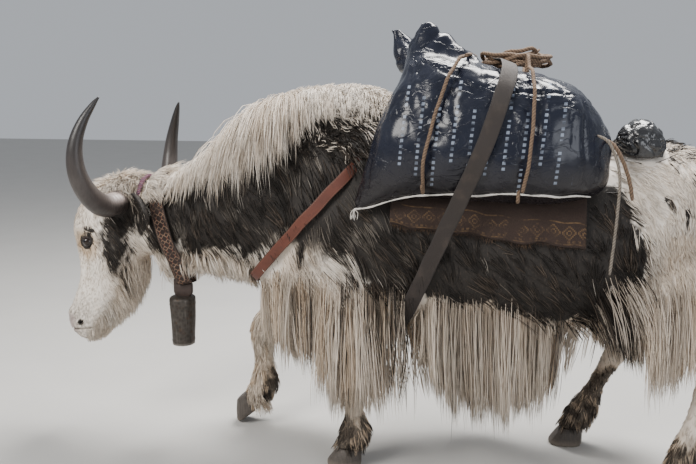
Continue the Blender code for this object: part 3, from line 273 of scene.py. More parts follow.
def with_modifier(piece, kind, **settings):
    """Add a modifier and apply it."""
    modifier = piece.modifiers.new(kind, kind)
    for key, value in settings.items():
        setattr(modifier, key, value)
    mesh = bpy.data.meshes.new_from_object(piece.evaluated_get(bpy.context.evaluated_depsgraph_get()))
    piece.modifiers.clear()
    piece.data = mesh
    return piece


def tree_of(piece):
    polygons = [polygon.vertices[:] for polygon in piece.data.polygons]
    return BVHTree.FromPolygons([vertex.co for vertex in piece.data.vertices], polygons)


def rounded_copy(node, name, voxel, smoothing, levels=0):
    """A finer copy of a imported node: its edges are rounded over as on the real piece."""
    piece = bpy.data.objects.new(name, NODES[node].data.copy())
    bpy.context.scene.collection.objects.link(piece)
    with_modifier(piece, "REMESH", mode="VOXEL", voxel_size=voxel, use_smooth_shade=True)
    with_modifier(piece, "SMOOTH", factor=0.5, iterations=smoothing)
    if levels:
        with_modifier(piece, "SUBSURF", levels=levels, render_levels=levels)
    piece.data.shade_smooth()
    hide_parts(node)
    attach(piece, "root")
    return piece


def own(piece, *nodes):
    """The piece belongs to the yak, in place of the nodes."""
    if nodes:
        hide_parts(*nodes)
    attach(piece, "root")
    return piece


def smooth_line(knots, spacing):
    """Points along a smooth curve through the knots, about a spacing apart."""
    knots = np.asarray(knots, float)
    padded = np.vstack([2 * knots[0] - knots[1], knots, 2 * knots[-1] - knots[-2]])
    line = []
    for k in range(1, len(padded) - 2):
        a, b, c, d = padded[k - 1:k + 3]
        steps = max(1, int(round(np.linalg.norm(c - b) / spacing)))
        for t in np.arange(steps) / steps:
            line.append(0.5 * (2 * b + (c - a) * t + (2 * a - 5 * b + 4 * c - d) * t ** 2
                               + (3 * b - a - 3 * c + d) * t ** 3))
    return np.array(line + [knots[-1]])


def frames_along(line, closed=False):
    """Tangent and two square directions at each point of a line, with no sudden turn."""
    if closed:
        tangents = unit(np.roll(line, -1, 0) - np.roll(line, 1, 0))
    else:
        tangents = unit(np.gradient(line, axis=0))
    across = [np.array(Vector(tangents[0]).orthogonal().normalized())]
    for tangent in tangents[1:]:
        last = across[-1] - tangent * across[-1].dot(tangent)
        across.append(unit(last))
    across = np.array(across)
    return tangents, across, np.cross(tangents, across)


def grid_faces(rows, columns, wrap_rows=False, wrap_columns=True):
    """Quads of a grid of points, row after row."""
    down = rows if wrap_rows else rows - 1
    along = columns if wrap_columns else columns - 1
    r, c = np.meshgrid(np.arange(down), np.arange(along), indexing="ij")
    r, c = r.ravel(), c.ravel()
    r2, c2 = (r + 1) % rows, (c + 1) % columns
    return np.stack([r * columns + c, r * columns + c2, r2 * columns + c2, r2 * columns + c], 1)


def rope_piece(name, line, radius, strands=3, pitch=5.0, sides=14, closed=False, fray=0.0):
    """A laid rope: strands that wind round its line, as one lobed tube."""
    tangents, across, beside = frames_along(line, closed)
    runs = np.concatenate([[0], np.cumsum(np.linalg.norm(np.diff(line, axis=0), axis=1))])
    turns = 2 * math.pi * np.arange(sides) / sides
    lobes = 0.80 + 0.20 * np.abs(np.cos(0.5 * strands * (turns[None] - runs[:, None] * 2 * math.pi
                                                         / (pitch * 2 * radius)))) ** 0.7
    reach = radius * lobes * (1 + fray * wavy(line, 0.05, 5)[:, None])
    if not closed:
        reach[0] *= 0.6
        reach[-1] *= 0.6
    ring = np.cos(turns)[None, :, None] * across[:, None] + np.sin(turns)[None, :, None] * beside[:, None]
    points = (line[:, None] + ring * reach[..., None]).reshape(-1, 3)
    faces = [grid_faces(len(line), sides, closed)]
    if not closed:
        faces += [np.arange(sides)[None, ::-1], np.arange(sides)[None] + (len(line) - 1) * sides]
    return mesh_piece(name, points, faces, marks={"run": np.repeat(runs, sides), "round": np.tile(turns, len(line))})


# Cords: loose rope ends behind the near sack and a hank of rope on top of the load

LONG_TAIL = (0.0045, [(0.640, -0.345, 1.128), (0.668, -0.366, 1.112), (0.692, -0.374, 1.062),
                      (0.704, -0.374, 1.000), (0.702, -0.366, 0.900), (0.696, -0.362, 0.800),
                      (0.690, -0.362, 0.728)])
SHORT_TAIL = (0.0060, [(0.655, -0.290, 1.115), (0.688, -0.318, 1.100), (0.716, -0.338, 1.050),
                       (0.736, -0.344, 0.990), (0.744, -0.344, 0.944)])
COIL_CENTRE, COIL_RADIUS, COIL_ROPE = np.array([0.400, -0.005, 1.348]), 0.082, 0.0070
# Where the hank's turns lie in its section, outward and up, as shares of the spacing of its turns.
COIL_PLACES = [(-1, -0.7), (0, -0.7), (1, -0.7), (1, 0.4), (0, 0.4), (-1, 0.4), (-0.5, 1.5)]


def hank_line():
    """Seven turns that step over and beside each other."""
    points = []
    spacing = COIL_ROPE * 2 * 1.35
    steps = 26
    for k in range((len(COIL_PLACES) - 1) * steps + 1):
        turn, share = divmod(k, steps)
        share = share / steps
        here = np.array(COIL_PLACES[turn])
        after = np.array(COIL_PLACES[min(turn + 1, len(COIL_PLACES) - 1)])
        eased = np.clip((share - 0.55) / 0.45, 0, 1)
        eased = eased * eased * (3 - 2 * eased)
        out, up = (here + (after - here) * eased) * spacing
        angle = 2 * math.pi * k / steps
        radius = COIL_RADIUS + out + 0.006 * math.sin(3 * angle + 0.9 * turn) + 0.006 * math.sin(2 * angle + 1.3 * turn)
        up += 0.008 * math.sin(2 * angle + 2.1 * turn) + 0.004 * math.sin(5 * angle + turn)
        points.append(COIL_CENTRE + np.array([math.cos(angle) * radius * 1.06, math.sin(angle) * radius * 0.94, up]))
    return np.array(points)


def add_cords():
    pieces = {}
    for name, (radius, knots), far_end in (("rope_tail_long", LONG_TAIL, "bare"), ("rope_tail_short", SHORT_TAIL, "bare")):
        line = smooth_line(knots, 0.012)
        piece = own(rope_piece(name + "_laid", line, radius), name)
        pieces[name] = piece
    line = hank_line()
    piece = own(rope_piece("rope_hank", line, COIL_ROPE, sides=10), "rope_coil")
    pieces["rope_hank"] = piece
    return pieces


CORDS = add_cords()


# Skin: one closed form through the body's stations, a coat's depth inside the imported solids

HEAD_TURN, HEAD_ROLL = math.radians(-9.0), math.radians(-3.5)
HEAD_PIVOT = Vector((-0.84, 0.0, 0.80))
TRUNK = [
    (-0.470, 0.750, 0.070, 0.110, 0.00),
    (-0.420, 0.780, 0.150, 0.245, 0.10),
    (-0.330, 0.830, 0.205, 0.355, 0.30),
    (-0.220, 0.850, 0.250, 0.400, 0.38),
    (-0.080, 0.848, 0.278, 0.398, 0.38),
    (0.080, 0.820, 0.296, 0.375, 0.28),
    (0.250, 0.785, 0.315, 0.350, 0.14),
    (0.450, 0.765, 0.325, 0.325, 0.08),
    (0.620, 0.785, 0.318, 0.300, 0.08),
    (0.780, 0.820, 0.290, 0.275, 0.12),
    (0.920, 0.850, 0.240, 0.240, 0.16),
    (1.020, 0.860, 0.165, 0.180, 0.14),
    (1.075, 0.865, 0.070, 0.090, 0.00),
]
NECK = [
    (-0.200, 0.905, 0.205, 0.335, 0.25),
    (-0.330, 0.910, 0.195, 0.315, 0.28),
    (-0.450, 0.893, 0.178, 0.278, 0.25),
    (-0.600, 0.848, 0.150, 0.212, 0.18),
    (-0.740, 0.812, 0.130, 0.160, 0.08),
    (-0.860, 0.795, 0.116, 0.140, 0.00),
    (-0.930, 0.790, 0.090, 0.110, 0.00),
]
MANE = [
    (-0.815, 0.925, 0.060),
    (-0.740, 0.975, 0.080),
    (-0.660, 1.030, 0.098),
    (-0.552, 1.100, 0.116),
    (-0.470, 1.178, 0.128),
    (-0.391, 1.230, 0.138),
    (-0.300, 1.255, 0.145),
    (-0.180, 1.270, 0.150),
    (-0.060, 1.265, 0.148),
    (0.030, 1.228, 0.120),
]
HEAD = [
    (0.942, -0.972, -0.890, 0.034, 0.00),
    (0.925, -1.008, -0.864, 0.070, 0.00),
    (0.895, -1.062, -0.852, 0.096, 0.02),
    (0.848, -1.109, -0.855, 0.112, 0.02),
    (0.796, -1.139, -0.860, 0.120, 0.02),
    (0.747, -1.149, -0.864, 0.122, 0.04),
    (0.688, -1.141, -0.870, 0.117, 0.10),
    (0.618, -1.133, -0.888, 0.104, 0.16),
    (0.560, -1.137, -0.918, 0.092, 0.16),
    (0.510, -1.153, -0.950, 0.083, 0.10),
    (0.465, -1.174, -0.982, 0.080, 0.02),
    (0.425, -1.184, -1.010, 0.082, -0.04),
    (0.396, -1.179, -1.028, 0.078, -0.04),
    (0.380, -1.170, -1.036, 0.071, -0.02),
    (0.364, -1.164, -1.044, 0.064, 0.00),
    (0.346, -1.142, -1.062, 0.044, 0.00),
    (0.338, -1.120, -1.080, 0.022, 0.00),
]
LEGS = {
    "foreleg_near": (NEAR, [
        (-0.150, 0.140, 0.800, 0.050, 0.090),
        (-0.130, 0.160, 0.680, 0.064, 0.105),
        (-0.100, 0.172, 0.580, 0.068, 0.098),
        (-0.085, 0.176, 0.460, 0.060, 0.074),
        (-0.092, 0.171, 0.370, 0.049, 0.052),
        (-0.097, 0.170, 0.320, 0.049, 0.050),
        (-0.092, 0.169, 0.265, 0.040, 0.040),
        (-0.088, 0.168, 0.190, 0.036, 0.035),
        (-0.084, 0.168, 0.130, 0.052, 0.056),
        (-0.092, 0.168, 0.088, 0.054, 0.058),
        (-0.102, 0.168, 0.066, 0.055, 0.060),
    ]),
    "foreleg_far": (FAR, [
        (-0.210, 0.130, 0.780, 0.050, 0.080),
        (-0.230, 0.148, 0.680, 0.056, 0.090),
        (-0.290, 0.160, 0.575, 0.064, 0.095),
        (-0.380, 0.165, 0.485, 0.060, 0.074),
        (-0.455, 0.156, 0.415, 0.050, 0.054),
        (-0.480, 0.152, 0.370, 0.050, 0.050),
        (-0.482, 0.150, 0.315, 0.041, 0.040),
        (-0.480, 0.150, 0.235, 0.036, 0.035),
        (-0.480, 0.150, 0.165, 0.052, 0.054),
        (-0.498, 0.150, 0.118, 0.054, 0.056),
        (-0.508, 0.150, 0.094, 0.054, 0.054),
    ]),
    "hindleg_near": (NEAR, [
        (0.860, 0.110, 0.860, 0.060, 0.110),
        (0.880, 0.140, 0.740, 0.080, 0.140),
        (0.915, 0.162, 0.620, 0.080, 0.130),
        (0.985, 0.166, 0.525, 0.062, 0.090),
        (1.038, 0.162, 0.450, 0.048, 0.058),
        (1.044, 0.160, 0.400, 0.046, 0.054),
        (1.026, 0.160, 0.335, 0.040, 0.043),
        (0.998, 0.160, 0.230, 0.036, 0.036),
        (0.980, 0.160, 0.140, 0.050, 0.053),
        (0.966, 0.160, 0.092, 0.052, 0.053),
        (0.956, 0.160, 0.066, 0.054, 0.056),
    ]),
    "hindleg_far": (FAR, [
        (0.790, 0.120, 0.860, 0.060, 0.110),
        (0.765, 0.150, 0.740, 0.080, 0.140),
        (0.745, 0.162, 0.620, 0.084, 0.135),
        (0.775, 0.160, 0.510, 0.064, 0.095),
        (0.806, 0.152, 0.440, 0.048, 0.060),
        (0.802, 0.147, 0.385, 0.046, 0.055),
        (0.772, 0.145, 0.320, 0.041, 0.044),
        (0.720, 0.145, 0.225, 0.036, 0.036),
        (0.680, 0.145, 0.138, 0.052, 0.058),
        (0.660, 0.145, 0.090, 0.054, 0.058),
        (0.648, 0.145, 0.066, 0.055, 0.060),
    ]),
}
TAIL = [
    (1.020, 1.000, 0.046, 0.046),
    (1.080, 0.975, 0.046, 0.040),
    (1.110, 0.900, 0.044, 0.032),
    (1.114, 0.780, 0.046, 0.032),
    (1.112, 0.640, 0.042, 0.026),
    (1.108, 0.520, 0.022, 0.014),
]
MANE_DEPTH = 0.160
POLL = (Vector((-0.925, 0.0, 0.885)), (0.072, 0.064, 0.052))
EAR_ROOT, EAR_TIP = Vector((-0.856, 0.108, 0.872)), Vector((-0.742, 0.205, 0.812))
EYE_CENTRE, EYE_RADIUS = np.array([-1.044, 0.101, 0.712]), 0.0196
# How far inside its solid each part of the skin lies.
TRUNK_COAT, HEAD_COAT, LEG_COAT, MANE_COAT = 0.014, 0.0035, 0.005, 0.016

turn = Matrix.Rotation(HEAD_TURN, 4, "Z") @ Matrix.Rotation(HEAD_ROLL, 4, "X")
HEAD_MATRIX = np.array(Matrix.Translation(HEAD_PIVOT) @ turn @ Matrix.Translation(-HEAD_PIVOT))
HEAD_INVERSE = np.linalg.inv(HEAD_MATRIX)


def turned(points, matrix=HEAD_MATRIX):
    return points @ matrix[:3, :3].T + matrix[:3, 3]


def section(centre, across, along, half_across, half_along, narrowing=0.0, sides=32, power=2.2):
    """A rounded section, narrower on the side that along points to."""
    turns = 2 * math.pi * np.arange(sides) / sides
    c = np.sign(np.cos(turns)) * np.abs(np.cos(turns)) ** (2 / power)
    s = np.sign(np.sin(turns)) * np.abs(np.sin(turns)) ** (2 / power)
    width = half_across * (1 - narrowing * np.maximum(0, s))
    return np.array(centre) + np.outer(width * c, across) + np.outer(half_along * s, along)


def tube_form(rings):
    """Points and faces of one capped tube through its sections."""
    rows, sides = len(rings), len(rings[0])
    caps = [np.arange(sides)[None, ::-1], np.arange(sides)[None] + (rows - 1) * sides]
    return np.vstack(rings), [grid_faces(rows, sides)] + caps


def even_rings(stations, spacing):
    """Stations read from a smooth curve through the given ones."""
    return smooth_line(stations, spacing)


def body_forms():
    forms = []
    trunk = even_rings(TRUNK, 0.05)
    forms.append(tube_form([section((x, 0, z), (0, 1, 0), (0, 0, 1), w - TRUNK_COAT, d - TRUNK_COAT, n)
                            for x, z, w, d, n in trunk]))
    neck = even_rings(NECK, 0.05)
    forms.append(tube_form([section((x, 0, z), (0, 1, 0), (0, 0, 1), w - TRUNK_COAT, d - TRUNK_COAT, n)
                            for x, z, w, d, n in neck]))
    mane = even_rings(MANE, 0.04)
    forms.append(tube_form([section((x, 0, top - MANE_DEPTH - MANE_COAT), (0, 1, 0), (0, 0, 1), w - MANE_COAT, MANE_DEPTH)
                            for x, top, w in mane]))
    head = even_rings([(z, face, jaw, w, n) for z, face, jaw, w, n in HEAD], 0.012)
    rings = [section(((face + jaw) / 2, 0, z), (0, 1, 0), (-1, 0, 0), w - HEAD_COAT, (jaw - face) / 2 - HEAD_COAT,
                     n, 40, 2.35) for z, face, jaw, w, n in head]
    points, faces = tube_form(rings)
    forms.append((turned(points), faces))
    for side, stations in LEGS.values():
        leg = even_rings(stations, 0.02)
        forms.append(tube_form([section((x, side * y, z), (0, 1, 0), (1, 0, 0), w - LEG_COAT, d - LEG_COAT, 0.0, 20)
                                for x, y, z, w, d in leg]))
    tail = even_rings(TAIL, 0.03)
    forms.append(tube_form([section((x, 0, z), (0, 1, 0), (1, 0, 0), w - 0.012, d - 0.010, 0.0, 14)
                            for x, z, w, d in tail]))
    centre, size = POLL
    crown = [section((centre.x, 0, centre.z + size[2] * math.sin(angle)), (0, 1, 0), (1, 0, 0),
                     size[1] * math.cos(angle), size[0] * math.cos(angle), 0.0, 20)
             for angle in np.linspace(-1.45, 1.45, 9)]
    forms.append(tube_form(crown))
    return forms


def joined(forms):
    """All forms as one set of points and faces."""
    points, groups, start = [], {}, 0
    for form_points, form_faces in forms:
        points.append(form_points)
        for faces in form_faces:
            groups.setdefault(faces.shape[1], []).append(faces + start)
        start += len(form_points)
    return np.vstack(points), [np.vstack(group) for group in groups.values()]


def refine(piece, chosen):
    """Split the faces whose centres are chosen into four."""
    form = bmesh.new()
    form.from_mesh(piece.data)
    centres = np.array([face.calc_center_median() for face in form.faces])
    keep = chosen(centres)
    edges = {edge for face, wanted in zip(form.faces, keep) if wanted for edge in face.edges}
    bmesh.ops.subdivide_edges(form, edges=list(edges), cuts=1, use_grid_fill=True)
    form.to_mesh(piece.data)
    form.free()


def eye_axes(side):
    outward = unit(np.array([-0.27, side * 0.96, 0.05]))
    forward = unit(np.array([-1.0, 0, 0]) - outward * (-outward[0]))
    tilt = -side * math.radians(18.0)
    forward = forward * math.cos(tilt) + np.cross(outward, forward) * math.sin(tilt)
    return outward, forward, np.cross(forward, outward) * side


def bulge(points, centre, radii, push):
    """Each point near a centre moves by the push, fading out to the radii."""
    share = np.clip(1 - (((points - centre) / radii) ** 2).sum(1), 0, 1)
    return points + (share ** 2 * (3 - 2 * share))[:, None] * np.array(push)


# Swellings and hollows of the head: centre, radii and push, outward on each side.
HEAD_FORMS = [
    ((-1.058, 0.098, 0.752), (0.052, 0.040, 0.022), (-0.004, 0.008, 0.003)),
    ((-1.000, 0.110, 0.735), (0.040, 0.030, 0.030), (0.000, 0.004, 0.002)),
    ((-0.945, 0.100, 0.655), (0.075, 0.045, 0.100), (0.003, 0.009, 0.000)),
    ((-1.085, 0.088, 0.640), (0.045, 0.040, 0.075), (0.004, -0.007, 0.000)),
    ((-1.050, 0.085, 0.560), (0.050, 0.040, 0.080), (0.000, -0.006, 0.000)),
    ((-1.135, 0.060, 0.560), (0.030, 0.030, 0.110), (-0.003, 0.003, 0.000)),
    ((-1.152, 0.066, 0.446), (0.030, 0.026, 0.030), (-0.002, 0.006, 0.003)),
    ((-1.125, 0.072, 0.402), (0.050, 0.030, 0.020), (0.000, 0.005, 0.000)),
    ((-1.090, 0.050, 0.352), (0.050, 0.040, 0.020), (0.000, 0.003, -0.003)),
    ((-1.140, 0.000, 0.770), (0.030, 0.060, 0.050), (0.004, 0.000, 0.000)),
]
MOUTH_LEVEL, MOUTH_SLOPE, MOUTH_BACK = 0.379, 0.12, -1.045


def shape_head(points):
    """Brows, cheeks, nasal ridge, lids, nostrils and the line of the mouth, in the head's own frame."""
    for centre, radii, push in HEAD_FORMS:
        for side in (NEAR, FAR):
            points = bulge(points, np.array(centre) * (1, side, 1), radii, np.array(push) * (1, side, 1))
    for side in (NEAR, FAR):
        centre = EYE_CENTRE * (1, side, 1)
        outward, forward, up = eye_axes(side)
        offset = points - centre
        f, u, o = offset @ forward, offset @ up, offset @ outward
        narrow = np.where(u > 0, 0.0112, 0.0098) * np.sqrt(np.clip(1 - (f / 0.0225) ** 2, 0.03, 1))
        reach = np.maximum(np.abs(f) / 0.0215, np.abs(u) / narrow)
        distance = np.linalg.norm(offset, axis=1)
        around = (distance < 0.044) & (o > -0.004)
        lid = EYE_RADIUS + 0.0022 + 0.0016 * np.exp(-((reach - 1.3) / 0.22) ** 2) * np.where(u > 0, 1.3, 0.8)
        crease = 0.0032 * np.exp(-((np.hypot(f / 0.031, (u - 0.002) / 0.0205) - 1) / 0.12) ** 2) * (u > -0.006)
        wanted = np.where(reach < 1, EYE_RADIUS - 0.006, np.maximum(distance - crease, lid))
        factor = np.where(around & (reach < 3.0), wanted / np.maximum(distance, 1e-6), 1)
        fade = np.clip((3.0 - reach) / 1.0, 0, 1)
        points = centre + offset * (1 + (factor - 1) * fade)[:, None]
        nostril = np.array([-1.098, side * 0.080, 0.412])
        axis = unit(np.array([-0.30, side * 0.95, 0.05]))
        flat = points - nostril
        depth = flat @ axis
        flat = flat - depth[:, None] * axis
        along = flat @ unit(np.array([0.55, side * 0.45, 0.62]))
        across = np.linalg.norm(flat - along[:, None] * unit(np.array([0.55, side * 0.45, 0.62])), axis=1)
        pit = np.sqrt((along / 0.0145) ** 2 + (across / (0.0046 + 0.10 * np.clip(along, 0, 0.02))) ** 2)
        open_side = (points[:, 1] * side > 0.015) & (np.abs(depth) < 0.03)
        sink = -0.014 * np.clip(1 - pit ** 3, 0, 1) + 0.0030 * np.exp(-((pit - 1.3) / 0.30) ** 2)
        points = points + np.where(open_side, sink, 0)[:, None] * axis
    muzzle = np.array([-1.105, 0.0, 0.0])
    level = MOUTH_LEVEL + MOUTH_SLOPE * (points[:, 0] + 1.15)
    outward = (points - muzzle) * (1, 1, 0)
    outward = unit(outward)
    height = points[:, 2] - level
    lip = np.clip((MOUTH_BACK - points[:, 0]) / 0.02, 0, 1) * (points[:, 2] < 0.43)
    groove = -0.0085 * np.exp(-(height / 0.0028) ** 2) + 0.0022 * np.exp(-((height - 0.009) / 0.006) ** 2)
    groove += 0.0016 * np.exp(-((height + 0.009) / 0.006) ** 2)
    points = points + (groove * lip)[:, None] * outward
    cleft = np.exp(-(points[:, 1] / 0.003) ** 2) * (points[:, 0] < -1.14) * (height > 0) * (height < 0.035)
    return points + np.outer(cleft, (0.0022, 0, 0))


def ear_form(side):
    """A leaf-shaped cup, open forward and down, thicker at its root."""
    root, tip = EAR_ROOT * 1, EAR_TIP * 1
    root.y *= side
    tip.y *= side
    length = (tip - root).normalized()
    face = Vector((-0.62, side * 0.55, -0.35))
    face = (face - length * face.dot(length)).normalized()
    across = length.cross(face)
    rings = []
    for share in np.linspace(-0.12, 1.0, 22):
        grown = math.sin(math.pi * min(1, max(0, 0.12 + 0.62 * share))) ** 0.8 if share < 0.6 else \
            math.cos((share - 0.6) / 0.4 * math.pi / 2) ** 0.65 * math.sin(math.pi * 0.492) ** 0.8
        half = 0.049 * max(grown, 0.05)
        depth = 0.026 * (1 - 0.55 * max(0, share)) * max(grown, 0.05) / 0.9
        centre = root.lerp(tip, share)
        back, lining = [], []
        for k in range(13):
            angle = math.pi * (k / 12 - 0.5)
            sideways = across * (half * math.sin(angle))
            back.append(centre + sideways - face * (depth * math.cos(angle)))
            lining.append(centre + sideways * 0.94 - face * (max(depth - 0.005, 0.002) * math.cos(angle) - 0.002))
        rings.append(np.array(back + lining[::-1]))
    points, faces = tube_form(rings)
    return turned(points), faces


TRUNK_PART, NECK_PART, HEAD_PART, TAIL_PART, EAR_PART = 0, 1, 2, 7, 8


def part_of(points):
    """Which part of the body each point of the skin belongs to."""
    x, y, z = points.T
    part = np.full(len(points), TRUNK_PART)
    part[(x + 0.395) * -1 + (z - 0.90) * 0.12 > 0] = NECK_PART
    part[-(x + 0.865) - (z - 0.80) * 0.10 > 0] = HEAD_PART
    for code, (side, stations) in enumerate(LEGS.values()):
        axis = np.array(stations)
        order = axis[::-1]
        leg_x, leg_y = np.interp(z, order[:, 2], order[:, 0]), np.interp(z, order[:, 2], order[:, 1])
        half_w, half_d = np.interp(z, order[:, 2], order[:, 3]), np.interp(z, order[:, 2], order[:, 4])
        near_axis = ((x - leg_x) / half_d) ** 2 + ((y * side - leg_y) / half_w) ** 2 < 1.25
        part[near_axis & (z < stations[2][2]) & (part == TRUNK_PART)] = 3 + code
    part[(x > 1.045) & (np.abs(y) < 0.06) & (z > 0.45) & (z < 0.99) & (part == TRUNK_PART)] = TAIL_PART
    return part


def build_skin():
    points, faces = joined(body_forms())
    skin = mesh_piece("skin", points, faces)
    with_modifier(skin, "REMESH", mode="VOXEL", voxel_size=0.0115, use_smooth_shade=True)
    with_modifier(skin, "SMOOTH", factor=0.5, iterations=4)
    in_head = lambda spots: turned(spots, HEAD_INVERSE)
    refine(skin, lambda spots: spots[:, 0] < -0.885)
    fine = [(EYE_CENTRE * (1, side, 1), 0.045) for side in (NEAR, FAR)]
    fine.append((np.array([-1.12, 0, 0.40]), 0.10))
    for _ in range(2):
        refine(skin, lambda spots: np.any([np.linalg.norm(in_head(spots) - centre, axis=1) < radius
                                           for centre, radius in fine], axis=0))
        fine = fine[:2]
    points = points_of(skin)
    in_place = points[:, 0] < -0.87
    local = in_head(points[in_place])
    before = local.copy()
    local = shape_head(local)
    fade = np.clip((-0.87 - points[in_place][:, 0]) / 0.03, 0, 1)[:, None]
    points[in_place] = turned(before + (local - before) * fade)
    move_points(skin, points)
    return skin


# Markings: how dark, warm, grey or bare each spot is, on the skin and on the hair that grows there

NECK_PATCH = [(-0.88, 0.87), (-0.80, 0.93), (-0.684, 0.95), (-0.60, 0.96), (-0.50, 0.99), (-0.43, 1.02),
              (-0.365, 1.07), (-0.31, 1.12), (-0.27, 1.18), (-0.17, 1.205), (-0.06, 1.215), (0.06, 1.21),
              (0.12, 1.05), (0.13, 0.80), (0.12, 0.60), (0.03, 0.585), (-0.03, 0.62), (-0.10, 0.69), (-0.20, 0.70),
              (-0.26, 0.73), (-0.32, 0.79), (-0.36, 0.74), (-0.43, 0.71), (-0.60, 0.700), (-0.75, 0.715), (-0.88, 0.73)]
FLANK_PATCH = [(0.014, 0.609), (0.153, 0.606), (0.38, 0.590), (0.47, 0.560), (0.60, 0.515), (0.69, 0.530), (0.755, 0.620),
               (0.800, 0.700), (0.795, 0.793), (0.774, 0.897), (0.70, 0.98), (0.30, 1.02), (0.06, 1.02),
               (0.06, 0.878), (0.03, 0.737)]
CHEEK_PATCH = [(-0.985, 0.800), (-0.950, 0.860), (-0.830, 0.880), (-0.830, 0.770), (-0.890, 0.755),
               (-0.905, 0.660), (-0.908, 0.590), (-0.930, 0.530), (-0.960, 0.550), (-0.985, 0.640),
               (-1.005, 0.700), (-1.018, 0.745)]
RUMP_SPOTS = [(0.955, 0.985, 0.035), (1.000, 1.010, 0.022), (0.930, 0.890, 0.024), (0.880, 1.040, 0.020),
              (0.860, 0.930, 0.016), (0.985, 0.930, 0.018)]
# Where the dark of each foot begins, and the paler band over it.
FOOT_DARK = {"foreleg_near": 0.205, "foreleg_far": 0.215, "hindleg_near": 0.175, "hindleg_far": 0.300}


def inside(polygon, across, up, edge):
    """1 well inside a polygon, 0 well outside, with a soft edge of a width."""
    corners = np.array(polygon)
    ends = np.roll(corners, -1, 0)
    spots = np.stack([across, up], 1)
    nearest = np.full(len(spots), 9.0)
    within = np.zeros(len(spots), bool)
    for a, b in zip(corners, ends):
        along = b - a
        share = np.clip(((spots - a) @ along) / (along @ along), 0, 1)
        nearest = np.minimum(nearest, np.linalg.norm(spots - a - share[:, None] * along, axis=1))
        crosses = (a[1] > spots[:, 1]) != (b[1] > spots[:, 1])
        level = a[0] + (spots[:, 1] - a[1]) / (along[1] if abs(along[1]) > 1e-9 else 1e-9) * along[0]
        within ^= crosses & (spots[:, 0] < level)
    signed = np.where(within, nearest, -nearest)
    return np.clip(0.5 + signed / edge, 0, 1)


def rise(values, low, high):
    share = np.clip((values - low) / (high - low), 0, 1)
    return share * share * (3 - 2 * share)


def eye_reach(local):
    """How far round the eye's opening each point of the head lies: 1 on an almond round the lids."""
    reach = np.full(len(local), 9.0)
    for side in (NEAR, FAR):
        outward, forward, up = eye_axes(side)
        offset = local - EYE_CENTRE * (1, side, 1)
        drop = offset @ up + 0.25 * np.maximum(0, -offset @ forward)
        mine = np.hypot(offset @ forward / 0.027, drop / 0.0185) + 9.0 * (np.abs(offset @ outward) > 0.035)
        reach = np.minimum(reach, mine)
    return reach


